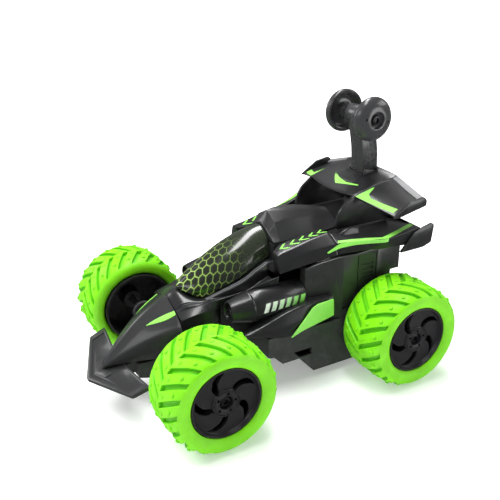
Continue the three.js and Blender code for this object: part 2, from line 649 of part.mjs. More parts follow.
function armWheel() {
  const profile = [[-2, AXLE_BORE], [-2, 4.4], [3.6, 4.8], [3.6, 9.8], [0.2, 11.4], [0, 12.8], [1.6, 14],
    [3.6, 13.8], [6, 11.8], [7.4, 8], [7.6, 5.2], [5.2, 4.2], [4.9, AXLE_BORE]];
  return turned(profile.map(([x, radius]) => [x + ARM_WHEEL_X, radius]), ARM_PIN_Y, ARM_PIN_Z, 20);
}

function armScrew() {
  const profile = [[13.5, 0.001], [13.5, SCREW_SHANK], [17.7, SCREW_SHANK], [17.7, 3.2], [19.2, 2.4],
    [19.2, 0.001]];
  return turned(profile, ARM_PIN_Y, ARM_PIN_Z, 12);
}

// ---- electronics and fasteners ----
function circuitBoard() {
  const board = box(-14, 14, -9, 27, 33, 34.6);
  const chips = [[-8, -1, 8, 8], [5, 9, 7, 10], [-6, 19, 5, 5]].map(([x, y, wide, long]) => (
    box(x - wide / 2, x + wide / 2, y - long / 2, y + long / 2, 34, 36.6)));
  return join(board, ...chips);
}

// ---- assembly ----
piece('chassis_tub', chassisTub(), BLACK);
piece('battery_door', batteryDoor(), BLACK);
piece('battery_pack', batteryPack(), CELL_BLUE);
piece('power_switch', powerSwitch(), LIME);
piece('front_axle_housing', frontAxleHousing(), BLACK);
piece('circuit_board', circuitBoard(), BOARD_GREEN);
piece('front_bumper', frontBumper(), CHARCOAL);
piece('nose_cone', noseCone(), CHARCOAL);
pair('nose_insert', noseInsert(), LIME);
piece('cowl', cowl(), BLACK);
piece('canopy', canopy(), SMOKE);
piece('engine_cover', engineCover(), CHARCOAL);
piece('spine', spine(), BLACK);
pair('shoulder', shoulder(), CHARCOAL);
piece('rear_deck', rearDeck(), BLACK);
piece('tail', tail(), BLACK);
pair('turbine', turbine(), CHARCOAL);
pair('side_fairing', sideFairing(), CHARCOAL);
pair('fairing_panel', fairingPanel(), LIME);
pair('side_panel', sidePanel(), CHARCOAL);
piece('stunt_arm', stuntArm(), CHARCOAL);
piece('arm_pin', armPin(), STEEL);
pair('arm_wheel', armWheel(), CHARCOAL);
pair('arm_screw', armScrew(), STEEL);

for (const [end, y, axleStart] of [['front', FRONT_AXLE_Y, 3], ['rear', REAR_AXLE_Y, 29.4]]) {
  const parts = [['tyre', tyre(y), TYRE_LIME], ['rim', rim(y), BLACK], ['wheel_screw', wheelScrew(y), STEEL]];
  for (const [name, left, material] of parts) {
    piece(`${name}_${end}_left`, left, material);
    piece(`${name}_${end}_right`, turnedRound(left, y), material);
  }
  pair(`axle_${end}`, stubAxle(axleStart, y), STEEL);
}

pair('motor', motor(), STEEL);
pair('gearbox', gearbox(), NYLON);
pair('final_gear', gear(FINAL_TEETH, 0.5, AXLE_BORE, FINAL_GEAR_X, REAR_AXLE_Y), NYLON);
pair('idler_gear', idlerGear(), NYLON);
pair('pinion', pinion(), BRASS);
pair('axle_bush', axleBush(), BRASS);

export default car;
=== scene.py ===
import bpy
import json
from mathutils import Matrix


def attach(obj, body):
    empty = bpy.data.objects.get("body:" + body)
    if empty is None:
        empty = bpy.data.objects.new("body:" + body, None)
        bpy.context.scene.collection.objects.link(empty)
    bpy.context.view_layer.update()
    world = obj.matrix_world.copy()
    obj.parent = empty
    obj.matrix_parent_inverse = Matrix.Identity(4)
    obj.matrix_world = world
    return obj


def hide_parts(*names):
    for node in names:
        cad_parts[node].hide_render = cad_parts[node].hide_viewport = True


bl_info = {
    "name": "Stunt Car Builder",
    "version": (1, 0, 0),
    "blender": (4, 5, 0),
    "location": "View3D > Sidebar > Stunt Car",
    "description": "Builds the shells, wheels, printed trim and studio of a small stunt car",
    "category": "Object",
}

import json
import math

import bmesh
import bpy
import numpy as np
from bpy.props import FloatProperty, FloatVectorProperty, IntProperty, PointerProperty
from bpy.types import Operator, Panel, PropertyGroup
from mathutils import Matrix, Vector
from mathutils.bvhtree import BVHTree

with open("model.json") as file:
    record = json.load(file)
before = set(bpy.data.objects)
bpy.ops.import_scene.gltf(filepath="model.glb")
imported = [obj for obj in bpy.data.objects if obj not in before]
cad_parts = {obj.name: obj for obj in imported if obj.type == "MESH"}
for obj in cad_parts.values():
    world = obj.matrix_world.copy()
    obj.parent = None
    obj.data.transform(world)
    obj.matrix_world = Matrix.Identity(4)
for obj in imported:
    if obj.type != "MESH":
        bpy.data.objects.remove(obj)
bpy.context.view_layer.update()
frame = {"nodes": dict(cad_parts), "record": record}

MM = 0.001
# The middle of the wheelbase lies this far behind the frame's origin. Points below are in
# millimetres from it: the nose points to -Y and the car's left side is +X.
WHEELBASE_MIDDLE_Y = 9.5
AXLE_Y = {"front": -65.0, "rear": 65.0}
AXLE_Z = 33.0
# The car's sides, with the sign of their x.
SIDES = {"left": 1, "right": -1}
# Each wheel's corner of the car, its side and its axle's y.
WHEELS = [(f"{end}_{side}", side, y) for end, y in AXLE_Y.items() for side in SIDES]


# ---- points and faces ----
def to_frame(points):
    shifted = np.array(points, float) + (0.0, WHEELBASE_MIDDLE_Y, 0.0)
    return (shifted * MM).tolist()


def between(stations, step):
    """Rows at about every `step` along their first number, on smooth curves that never overshoot."""
    rows = np.array(stations, float)
    place, value = rows[:, 0], rows[:, 1:]
    gap = np.diff(place)[:, None]
    slope = np.diff(value, axis=0) / gap
    tangent = np.zeros_like(value)
    tangent[0], tangent[-1] = slope[0], slope[-1]
    before, after = slope[:-1], slope[1:]
    same_way = before * after > 0
    near, far = 2 * gap[1:] + gap[:-1], gap[1:] + 2 * gap[:-1]
    with np.errstate(divide="ignore", invalid="ignore"):
        mean = (near + far) / (near / before + far / after)
    tangent[1:-1] = np.where(same_way, mean, 0.0)
    out = []
    for i in range(len(rows) - 1):
        count = max(1, round(float(gap[i, 0]) / step))
        for k in range(count):
            t = k / count
            h = gap[i, 0]
            out.append(np.concatenate((
                [place[i] + t * h],
                value[i] * (2 * t**3 - 3 * t**2 + 1) + tangent[i] * h * (t**3 - 2 * t**2 + t)
                + value[i + 1] * (3 * t**2 - 2 * t**3) + tangent[i + 1] * h * (t**3 - t**2),
            )))
    out.append(rows[-1])
    return out


def curve_through(points, steps, closed=False, ghost=None):
    """Points on a smooth line through the given 2D points. `ghost` is a point before the first one."""
    given = [Vector(p) for p in points]
    count = len(given)
    if not closed:
        first = Vector(ghost) if ghost else given[0] * 2 - given[1]
        given = [first, *given, given[-1] * 2 - given[-2]]
    out = []
    for i in range(count if closed else count - 1):
        if closed:
            a, b, c, d = (given[(i + k - 1) % count] for k in range(4))
        else:
            a, b, c, d = given[i:i + 4]
        for k in range(steps):
            t = k / steps
            out.append(0.5 * (2 * b + (c - a) * t + (2 * a - 5 * b + 4 * c - d) * t**2
                              + (3 * b - a - 3 * c + d) * t**3))
    if not closed:
        out.append(given[-2])
    return [tuple(p) for p in out]


# The largest share of an edge that one rounded corner may take up.
CORNER_SHARE = 0.47


def filleted(outline, reach, steps=3):
    """A closed 2D outline with every corner rounded; `reach` is one length or one for each corner."""
    out = []
    for i, point in enumerate(outline):
        corner = Vector(point)
        to_before = Vector(outline[i - 1]) - corner
        to_after = Vector(outline[(i + 1) % len(outline)]) - corner
        wanted = reach[i] if isinstance(reach, (list, tuple)) else reach
        length = min(wanted, to_before.length * CORNER_SHARE, to_after.length * CORNER_SHARE)
        start = corner + to_before.normalized() * length
        end = corner + to_after.normalized() * length
        for k in range(steps + 1):
            t = k / steps
            out.append(tuple(start * (1 - t) ** 2 + corner * 2 * t * (1 - t) + end * t**2))
    return out


def inset(outline, distance):
    """The outline moved inwards."""
    points = [Vector(p) for p in outline]
    area = sum(a.x * b.y - b.x * a.y for a, b in zip(points, points[1:] + points[:1]))
    turn = 1 if area > 0 else -1
    out = []
    for i, point in enumerate(points):
        along = points[(i + 1) % len(points)] - points[i - 1]
        if along.length < 1e-9:
            out.append(tuple(point))
            continue
        inwards = Vector((-along.y, along.x)).normalized() * turn
        out.append(tuple(point + inwards * distance))
    return out


def grid_faces(rows, columns, close_rows=False, close_columns=False):
    faces = []
    for r in range(rows if close_rows else rows - 1):
        for c in range(columns if close_columns else columns - 1):
            a, b = r * columns + c, r * columns + (c + 1) % columns
            up = ((r + 1) % rows) * columns
            faces.append((a, b, up + (c + 1) % columns, up + c))
    return faces


def loft(rings):
    """Closed rings of 3D points joined one to the next, with a flat cap at each end."""
    count = len(rings[0])
    faces = grid_faces(len(rings), count, close_columns=True)
    last = (len(rings) - 1) * count
    faces.append(tuple(range(count)))
    faces.append(tuple(range(last, last + count)))
    return [p for ring in rings for p in ring], faces


def both_halves(half):
    """A closed section from half of it, given from the top centre point down to the bottom one."""
    return [(-x, z) for x, z in half] + [(x, z) for x, z in reversed(half[1:-1])]


def filleted_halves(half, reach):
    return filleted(both_halves(half), [*reach, *reversed(reach[1:-1])])


# How far a rounded lip has moved along and in, as shares of its size.
LIP_STEPS = ((0.0, 1.0), (0.3, 0.3), (1.0, 0.0))


def body_loft(stations, outline, step=1.5, lip=0.35, mirrored_half=True):
    """A skin along Y. `outline` turns a station's numbers into half a section from the top centre
    line to the bottom one, or into a whole section; both ends get a rounded lip."""
    sections = []
    for row in between(stations, step):
        ring = outline(*row[1:])
        sections.append((row[0], both_halves(ring) if mirrored_half else ring))
    first, last = sections[0], sections[-1]
    start = [(first[0] + lip * move, inset(first[1], lip * shrink)) for move, shrink in LIP_STEPS]
    end = [(last[0] - lip * move, inset(last[1], lip * shrink)) for move, shrink in reversed(LIP_STEPS)]
    inner = [s for s in sections[1:-1] if first[0] + lip < s[0] < last[0] - lip]
    return loft([[(x, y, z) for x, z in ring] for y, ring in [*start, *inner, *end]])


def prism(outline, low, high, axis):
    """A 2D outline as a plate across `axis`: (y, z) for X, (x, z) for Y, (x, y) for Z."""
    place = {
        "X": lambda u, v, w: (w, u, v), "Y": lambda u, v, w: (u, w, v), "Z": lambda u, v, w: (u, v, w),
    }[axis]
    return loft([[place(u, v, w) for u, v in outline] for w in (low, high)])


def block(x0, x1, y0, y1, z0, z1):
    return prism([(x0, y0), (x1, y0), (x1, y1), (x0, y1)], z0, z1, "Z")


def middle_block(half_width, y0, y1, z0, z1):
    return block(-half_width, half_width, y0, y1, z0, z1)


def on_circle(middle, radius, angle):
    return middle[0] + radius * math.cos(angle), middle[1] + radius * math.sin(angle)


def turned(profile, across, up, steps=96, axis="X"):
    """A closed profile of (place along the axis, radius) points turned about a line that runs along X
    or Y and passes through (across, up)."""
    points = []
    for k in range(steps):
        for along, radius in profile:
            u, v = on_circle((across, up), radius, 2 * math.pi * k / steps)
            points.append((along, u, v) if axis == "X" else (u, along, v))
    return points, grid_faces(steps, len(profile), close_rows=True, close_columns=True)


def moved(form, move):
    points, faces = form
    return [move(*p) for p in points], faces


def mirror(form):
    return moved(form, lambda x, y, z: (-x, y, z))


def turned_round(form, y0):
    """The same part for the other side of the car, turned half a turn about a standing axis."""
    return moved(form, lambda x, y, z: (-x, 2 * y0 - y, z))


def together(*forms):
    points, faces = [], []
    for more_points, more_faces in forms:
        start = len(points)
        points.extend(more_points)
        faces.extend(tuple(start + i for i in face) for face in more_faces)
    return points, faces


# ---- objects ----
def solid(form, name="shape"):
    """A mesh object from points and faces, with doubled points merged and faces turned outwards."""
    mesh = bpy.data.meshes.new(name)
    mesh.from_pydata(to_frame(form[0]), [], form[1])
    clean(mesh)
    return linked(name, mesh)


def linked(name, data):
    obj = bpy.data.objects.new(name, data)
    bpy.context.scene.collection.objects.link(obj)
    return obj


# Points closer than this are one point, in metres.
SAME_POINT = 2e-6


def clean(mesh, merging=True):
    work = bmesh.new()
    work.from_mesh(mesh)
    if merging:
        bmesh.ops.remove_doubles(work, verts=work.verts, dist=SAME_POINT)
        bmesh.ops.dissolve_degenerate(work, edges=work.edges, dist=SAME_POINT / 2)
    bmesh.ops.recalc_face_normals(work, faces=work.faces)
    work.to_mesh(mesh)
    work.free()


def apply_modifier(obj, kind, **settings):
    modifier = obj.modifiers.new(kind.title(), kind)
    for key, value in settings.items():
        setattr(modifier, key, value)
    graph = bpy.context.evaluated_depsgraph_get()
    mesh = bpy.data.meshes.new_from_object(obj.evaluated_get(graph))
    obj.modifiers.clear()
    old, obj.data = obj.data, mesh
    bpy.data.meshes.remove(old)


def combine(obj, operation, *forms):
    """Cuts away, joins or keeps in common, as a solid."""
    for form in forms:
        tool = solid(form, "tool")
        apply_modifier(obj, "BOOLEAN", object=tool, operation=operation, solver="EXACT")
        bpy.data.objects.remove(tool)
    return obj


def round_edges(obj, width, angle=30, segments=2):
    """Rounds the edges that are sharper than `angle`; `width` is in millimetres."""
    apply_modifier(
        obj, "BEVEL", width=width * MM, segments=segments, limit_method="ANGLE",
        angle_limit=math.radians(angle), use_clamp_overlap=True, miter_outer="MITER_ARC",
    )
    clean(obj.data)
    return obj


def shade(obj, angle=40):
    obj.data.polygons.foreach_set("use_smooth", [True] * len(obj.data.polygons))
    obj.data.set_sharp_from_angle(angle=math.radians(angle))


def merge(name, *objects):
    """Several closed shells as one object."""
    work = bmesh.new()
    for obj in objects:
        work.from_mesh(obj.data)
    mesh = bpy.data.meshes.new(name)
    work.to_mesh(mesh)
    work.free()
    for obj in objects:
        bpy.data.objects.remove(obj)
    return linked(name, mesh)


def place(obj, name, body, material, slot, *nodes):
    """Names and finishes a piece, and lets it ride on its body in place of its CAD nodes."""
    obj.name = obj.data.name = name
    shade(obj)
    obj.data.materials.clear()
    obj.data.materials.append(material)
    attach(obj, body)
    if nodes:
        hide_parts(*nodes)
    return obj


def pair_of(make, name, material, slot, body="root", nodes=True):
    """Makes a left piece and its mirrored twin; `make` returns a new object each time."""
    for side in SIDES:
        obj = make()
        if side == "right":
            obj.data.transform(Matrix.Diagonal((-1, 1, 1, 1)))
            clean(obj.data)
        full = f"{name}_{side}"
        stands_for = [full] if nodes else []
        place(obj, full + "_shell", body.format(side=side), material, slot, *stands_for)


def ribbon(outer, inner, targets, axis="Z", lift=0.12, depth=0.3, step=1.2):
    """A thin printed or inlaid strip between two lines, laid on the targets' surface. The lines are in
    (x, y) and dropped from above, or in (y, z) and pressed on from the left."""
    rows = []
    for i in range(len(outer) - 1):
        ends = [Vector(p) for p in (outer[i], outer[i + 1], inner[i], inner[i + 1])]
        reach = max((ends[1] - ends[0]).length, (ends[3] - ends[2]).length)
        across = max((ends[2] - ends[0]).length, (ends[3] - ends[1]).length)
        count = max(1, math.ceil(reach / step))
        for k in range(count + (i == len(outer) - 2)):
            t = k / count
            a, b = ends[0].lerp(ends[1], t), ends[2].lerp(ends[3], t)
            rows.append((a, b, across))
    columns = max(2, math.ceil(max(r[2] for r in rows) / step) + 1)
    tops, bottoms = [], []
    last = None
    for a, b, _ in rows:
        for k in range(columns):
            p = a.lerp(b, k / (columns - 1))
            hit = dropped(p, targets, axis)
            last = hit if hit is not None else last
            if axis == "Z":
                tops.append((p.x, p.y, last + lift))
                bottoms.append((p.x, p.y, last - depth))
            else:
                tops.append((last + lift, p.x, p.y))
                bottoms.append((last - depth, p.x, p.y))
    faces = grid_faces(len(rows), columns)
    count = len(tops)
    rim = [*range(columns), *[r * columns + columns - 1 for r in range(1, len(rows))],
           *range(count - 2, count - columns - 1, -1), *[r * columns for r in range(len(rows) - 2, 0, -1)]]
    under = [tuple(count + i for i in reversed(face)) for face in faces]
    walls = [(rim[i], rim[(i + 1) % len(rim)], count + rim[(i + 1) % len(rim)], count + rim[i])
             for i in range(len(rim))]
    return tops + bottoms, faces + under + walls


# Rays towards the car start this far from its middle.
RAY_START = 300.0


def dropped(p, targets, axis):
    """The height, or the distance to the left, of the targets' surface over a 2D point."""
    if axis == "Z":
        start, way, part = (p.x, p.y, RAY_START), Vector((0, 0, -1)), 2
    else:
        start, way, part = (RAY_START, p.x, p.y), Vector((-1, 0, 0)), 0
    origin = Vector(to_frame([start])[0])
    best = None
    for tree in targets:
        hit = tree.ray_cast(origin, way)[0]
        if hit is not None and (best is None or hit[part] > best):
            best = hit[part]
    return None if best is None else best / MM


def surfaces(*names):
    trees = []
    for name in names:
        work = bmesh.new()
        work.from_mesh(bpy.data.objects[name].data)
        trees.append(BVHTree.FromBMesh(work))
        work.free()
    return trees


# ---- finishes ----
class Nodes:
    """A short way to write a material's node tree."""

    def __init__(self, name):
        self.material = bpy.data.materials.new(name)
        self.material.use_nodes = True
        self.tree = self.material.node_tree
        self.shader = self.tree.nodes["Principled BSDF"]

    def add(self, kind, inputs=None, **settings):
        node = self.tree.nodes.new("ShaderNode" + kind)
        for key, value in settings.items():
            setattr(node, key, value)
        for key, value in (inputs or {}).items():
            self.feed(node, key, value)
        return node

    def feed(self, node, key, value):
        socket = node.inputs[key]
        if hasattr(value, "is_output"):
            self.tree.links.new(value, socket)
        else:
            socket.default_value = value

    def set(self, **values):
        for key, value in values.items():
            self.feed(self.shader, key.replace("_", " "), value)

    def noise(self, scale, detail=4.0, roughness=0.55, stretch=None):
        where = self.add("TexCoord").outputs["Object"]
        if stretch:
            where = self.add("Mapping", {"Vector": where, "Scale": stretch}).outputs["Vector"]
        inputs = {"Vector": where, "Scale": scale, "Detail": detail, "Roughness": roughness}
        return self.add("TexNoise", inputs).outputs["Fac"]

    def ramp(self, value, low, high, from_low=0.3, from_high=0.7):
        node = self.add("MapRange", {
            "Value": value, "From Min": from_low, "From Max": from_high, "To Min": low, "To Max": high})
        return node.outputs["Result"]

    def math(self, operation, a, b=0.0, clamp=False):
        return self.add("Math", {0: a, 1: b}, operation=operation, use_clamp=clamp).outputs[0]

    def mix(self, share, a, b):
        node = self.add("Mix", data_type="RGBA")
        self.feed(node, 0, share)
        for index, value in ((6, a), (7, b)):
            self.feed(node, index, value)
        return node.outputs[2]

    def bump(self, height, distance, strength=0.5, normal=None):
        node = self.add("Bump", {"Height": height, "Distance": distance, "Strength": strength})
        if normal is not None:
            self.feed(node, "Normal", normal)
        return node.outputs["Normal"]


def tone(color, gain=1.0):
    return (*[min(1.0, c * gain) for c in color[:3]], 1.0)


def moulded(name, color, roughness, wear=0.35, grain=0.5, coat=0.0, spread=0.14, worn=None):
    """Moulded plastic: a fine eroded grain, uneven gloss, faint flow marks and scuffed edges."""
    n = Nodes(name)
    flow = n.noise(26.0, 6.0, 0.6)
    speck = n.noise(900.0, 3.0, 0.6)
    base = n.mix(n.ramp(flow, 0.0, 1.0), tone(color, 1 - spread), tone(color, 1 + spread))
    base = n.mix(n.ramp(speck, 0.0, 0.16), base, tone(color, 1.5))
    edge = n.ramp(n.add("NewGeometry").outputs["Pointiness"], 0.0, 1.0, 0.515, 0.6)
    broken = n.ramp(n.noise(180.0, 5.0, 0.7), 0.0, 1.0, 0.42, 0.62)
    scuff = n.math("MULTIPLY", n.math("MULTIPLY", edge, broken, True), wear)
    scuffed = tone(worn if worn else [c * 2.0 + 0.05 for c in color[:3]])
    gloss = n.ramp(n.noise(48.0, 5.0, 0.6), roughness - 0.015, roughness + 0.02)
    fine = n.bump(speck, 0.00005, grain)
    marks = n.bump(n.noise(14.0, 2.0, 0.5, (1.0, 0.25, 1.0)), 0.0006, 0.04, fine)
    n.set(Base_Color=n.mix(scuff, base, scuffed), Normal=marks,
          Roughness=n.math("ADD", gloss, n.math("MULTIPLY", scuff, 0.35)))
    n.set(Coat_Weight=coat, Coat_Roughness=0.08, Specular_IOR_Level=0.5)
    return n.material


def metal(name, color, roughness, scale=700.0):
    """Plated or turned metal with fine circular tool marks and dull patches."""
    n = Nodes(name)
    patches = n.noise(120.0, 5.0, 0.6)
    marks = n.noise(scale, 3.0, 0.6, (0.08, 1.0, 1.0))
    n.set(Base_Color=n.mix(n.ramp(patches, 0.0, 1.0), tone(color, 0.72), tone(color, 1.08)),
          Roughness=n.ramp(marks, roughness - 0.08, roughness + 0.16), Normal=n.bump(marks, 0.00006, 0.4))
    n.set(Metallic=1.0)
    return n.material


def rubber(name, color, deep):
    """Soft bright tyre rubber with painted shade in the slots and round the pips' feet, a fine mould texture
    and a little bloom.
    """
    n = Nodes(name)
    recess = n.add("Attribute", attribute_name="recess").outputs["Fac"]
    clouds = n.noise(70.0, 5.0, 0.6)
    skin = n.mix(n.ramp(clouds, 0.0, 1.0), tone(color, 0.9), tone(color, 1.1))
    # Painted shade: the skin darkens towards the slot shade colour where recess is high, in the slots and
    # round the pips' feet.
    skin = n.mix(n.math("MULTIPLY", recess, 0.8), skin, tone(deep))
    dust = n.math("MULTIPLY", n.ramp(n.noise(420.0, 6.0, 0.7), 0.0, 1.0, 0.55, 0.8), 0.10)
    fine = n.bump(n.noise(1500.0, 3.0, 0.6), 0.00008, 0.35)
    n.set(Base_Color=n.mix(dust, skin, tone((0.62, 0.9, 0.4))), Normal=fine,
          Roughness=n.ramp(n.noise(90.0, 4.0, 0.6), 0.40, 0.52))
    n.set(Subsurface_Weight=0.08, Subsurface_Radius=(0.002, 0.004, 0.001), Subsurface_Scale=0.5)
    n.set(Specular_IOR_Level=0.32)
    return n.material


def honeycomb(name, dark, line, pitch):
    """A smoked bubble with a printed honeycomb that fades out towards the rear. The attribute
    `unrolled` holds each point's distance round and along the skin, in millimetres."""
    n = Nodes(name)
    place_on = n.add("Attribute", attribute_name="unrolled").outputs["Vector"]
    split = n.add("SeparateXYZ", {"Vector": place_on})
    across, along = split.outputs["X"], split.outputs["Y"]
    tall = pitch * math.sqrt(3.0)

    def folded(value, size, shift):
        moved_on = n.math("ADD", value, shift)
        return n.math("SUBTRACT", n.math("FLOORED_MODULO", moved_on, size), size / 2)

    def cell(shift_across, shift_along):
        u = n.math("ABSOLUTE", folded(across, pitch, shift_across))
        v = n.math("ABSOLUTE", folded(along, tall, shift_along))
        slanted = n.math("ADD", n.math("MULTIPLY", u, 0.5), n.math("MULTIPLY", v, math.sqrt(0.75)))
        return n.math("MAXIMUM", u, slanted)

    inside = n.math("MINIMUM", cell(0.0, 0.0), cell(pitch / 2, tall / 2))
    edge = n.ramp(inside, 0.0, 1.0, pitch * 0.448, pitch * 0.465)
    glow = n.ramp(inside, 0.0, 0.35, pitch * 0.30, pitch * 0.45)
    blot = n.noise(60.0, 3.0, 0.5)
    fade = n.ramp(n.math("ADD", along, n.math("MULTIPLY", blot, 14.0)), 1.0, 0.0, -44.0, -8.0)
    rear_tint = n.ramp(along, 0.0, 1.0, -40.0, -5.0)
    ground = n.mix(rear_tint, tone(dark), tone(dark, 1.9))
    ground = n.mix(n.math("MULTIPLY", glow, fade), ground, tone(line, 0.35))
    worn = n.ramp(n.noise(500.0, 4.0, 0.6), 0.8, 1.0)
    print_share = n.math("MULTIPLY", n.math("MULTIPLY", edge, fade), worn)
    haze = n.noise(40.0, 5.0, 0.6)
    n.set(Base_Color=n.mix(print_share, ground, tone(line)), Roughness=n.ramp(haze, 0.19, 0.22),
          Normal=n.bump(n.math("ADD", print_share, n.math("MULTIPLY", n.noise(700.0), 0.3)), 0.00003, 0.4))
    n.set(Coat_Weight=0.5, Coat_Roughness=0.06, Specular_IOR_Level=0.55)
    return n.material


def faded_print(name, front, rear, start, end):
    """Printed bars that change colour from front to rear, with small gaps in the ink."""
    n = Nodes(name)
    y = n.add("SeparateXYZ", {"Vector": n.add("TexCoord").outputs["Object"]}).outputs["Y"]
    share = n.ramp(y, 0.0, 1.0, start, end)
    worn = n.ramp(n.noise(1400.0, 5.0, 0.7), 0.0, 0.8, 0.56, 0.7)
    ink = n.mix(share, tone(front), tone(rear))
    n.set(Base_Color=n.mix(worn, ink, (0.05, 0.06, 0.05, 1.0)), Roughness=n.ramp(n.noise(300.0), 0.3, 0.45))
    n.set(Specular_IOR_Level=0.5)
    return n.material


FINISHES = {}


def make_finishes(scene):
    shells, wheels, trim = scene.car_shells, scene.car_wheels, scene.car_trim
    rough = shells.gloss
    FINISHES.update({
        "shell": moulded("black_shell_plastic", shells.shell_color, rough, coat=0.25),
        "charcoal": moulded("charcoal_shell_plastic", shells.charcoal_color, rough + 0.02, coat=0.2),
        "graphite": moulded("graphite_arm_plastic", shells.graphite_color, rough - 0.05, coat=0.3),
        "tub": moulded("black_tub_plastic", shells.tub_color_and_painted_bounce, rough + 0.12, grain=0.9),
        "rim": moulded("black_rim_plastic", wheels.rim_color, 0.36, wear=0.3),
        "trim": moulded("green_trim_plastic", trim.trim_color, 0.34, wear=0.2, spread=0.08,
                        worn=(0.6, 0.9, 0.4)),
        "print": moulded("green_marking_ink", trim.trim_color, 0.42, wear=0.1, spread=0.06,
                         worn=(0.6, 0.9, 0.4)),
        "tyre": rubber("green_tyre_rubber", wheels.tyre_color, wheels.tyre_slot_shade_color),
        "canopy": honeycomb("smoked_canopy_print", trim.canopy_color, trim.honeycomb_color,
                            trim.honeycomb_pitch / MM),
        "steel": metal("plated_steel", (0.55, 0.56, 0.58), 0.34),
        "dark_steel": metal("blackened_steel", (0.07, 0.07, 0.075), 0.38),
        "motor_can": metal("motor_can_steel", (0.5, 0.5, 0.52), 0.38, 300.0),
        "brass": metal("turned_brass", (0.7, 0.5, 0.2), 0.3),
        "nylon": moulded("white_nylon", (0.72, 0.70, 0.62), 0.45, wear=0.1, spread=0.06),
        "wrap": moulded("blue_cell_wrap", (0.03, 0.1, 0.4), 0.25, wear=0.2, coat=0.4),
        "board": moulded("green_board_lacquer", (0.01, 0.1, 0.03), 0.35, wear=0.2, coat=0.4),
        "grey_lip": moulded("grey_lip_plastic", (0.15, 0.15, 0.155), 0.4, wear=0.3),
        "grip": moulded("textured_pad_plastic", shells.shell_color, 0.5, grain=1.0),
        "bars": faded_print("faded_bar_ink", (0.75, 0.78, 0.75), (0.16, 0.52, 0.06), *BAR_FADE),
    })


NODE_FINISHES = {
    "black_plastic": "tub", "charcoal_plastic": "charcoal", "canopy_print": "canopy", "lime_trim": "trim",
    "lime_tyre": "tyre", "rim_black": "rim", "steel": "steel", "motor_can": "motor_can", "nylon": "nylon",
    "brass": "brass", "battery_wrap": "wrap", "circuit_green": "board",
}


# ---- settings a user would change ----
def color(name, description, default):
    return FloatVectorProperty(
        name=name, description=description, subtype="COLOR", size=3, min=0.0, max=1.0, default=default)


def size(name, description, millimetres, low, high):
    return FloatProperty(
        name=name, description=description, subtype="DISTANCE", unit="LENGTH",
        default=millimetres * MM, min=low * MM, max=high * MM, precision=4)


class CarShellSettings(PropertyGroup):
    shell_color: color("Shell", "Colour of the black body shells", (0.011, 0.011, 0.012))
    charcoal_color: color("Charcoal", "Colour of the charcoal body shells", (0.020, 0.020, 0.021))
    graphite_color: color("Graphite", "Colour of the wheelie arm", (0.034, 0.034, 0.036))
    # The tub's dark grey, lightened beyond it to stand in for floor light reflected on its lower sides.
    tub_color_and_painted_bounce: color("Tub", "Colour of the chassis tub", (0.034, 0.034, 0.036))
    gloss: FloatProperty(
        name="Roughness", description="Roughness of the shells' surface", default=0.29, min=0.08, max=0.7)
    edge: size("Edge rounding", "Radius of the moulded shells' edges", 0.45, 0.1, 1.0)


class CarWheelSettings(PropertyGroup):
    tyre_color: color("Tyre", "Colour of the tyre rubber", (0.19, 0.66, 0.006))
    # Painted shade: the colour that the slots and the pips' feet are darkened towards.
    tyre_slot_shade_color: color("Tyre slots", "Colour down in the tread's slots", (0.05, 0.42, 0.01))
    rim_color: color("Rim", "Colour of the rims", (0.014, 0.013, 0.015))
    lugs: IntProperty(name="Lugs", description="Tread lugs round each tyre", default=20, min=12, max=28)
    tread_depth: size("Tread depth", "Depth of the slots between the lugs", 2.2, 0.3, 3.0)
    pip_height: size("Pip height", "Height of the small studs on the lugs", 0.5, 0.0, 0.6)


class CarTrimSettings(PropertyGroup):
    trim_color: color("Trim", "Colour of the green trim and markings", (0.24, 0.68, 0.09))
    canopy_color: color("Canopy", "Colour of the smoked canopy", (0.012, 0.016, 0.009))
    honeycomb_color: color("Honeycomb", "Colour of the canopy's printed lines", (0.34, 0.52, 0.12))
    honeycomb_pitch: size("Honeycomb pitch", "Width of one printed cell", 5.6, 2.0, 12.0)


class CarStudioSettings(PropertyGroup):
    floor_color: color("Floor", "Colour of the studio floor", (0.9, 0.9, 0.9))
    lens: FloatProperty(
        name="Lens", description="Focal length of the camera", subtype="DISTANCE_CAMERA", default=52.05)
    light: FloatProperty(
        name="Light", description="Strength of all the studio lights", default=1.0, min=0.0, max=4.0)


SETTINGS = {
    "car_shells": CarShellSettings, "car_wheels": CarWheelSettings,
    "car_trim": CarTrimSettings, "car_studio": CarStudioSettings,
}


# ---- wheels ----
TYRE_SKIN = (
    (46.0, 23.7), (44.9, 24.8), (44.5, 26.6), (45.3, 29.0), (47.5, 31.0), (51.0, 32.1), (57.0, 32.45),
    (64.0, 32.5), (71.0, 32.4), (76.0, 31.9), (79.3, 30.7), (81.3, 28.8), (81.9, 26.6), (81.7, 24.6),
    (81.1, 22.7), (79.9, 21.3),
)
TREAD_MIDDLE_X = 64.0
# The tread and the shoulders lie farther from the axle than this; the beads lie nearer.
BEAD_RADIUS = 27.0
# A slot's rows: how far from the tread's middle it starts and how far before its end it closes, each with
# the share of its full depth there.
SLOT_START = ((0.25, 0.0), (0.5, 0.7), (0.8, 1.0))
SLOT_END = ((0.75, 0.93), (0.35, 0.6), (0.0, 0.0))
# The length of a slot's two ends together, and the distance between the rows along it and beyond it.
SLOT_ENDS_LENGTH = 2.0
SLOT_ROW_STEP, PLAIN_ROW_STEP = 1.3, 0.9
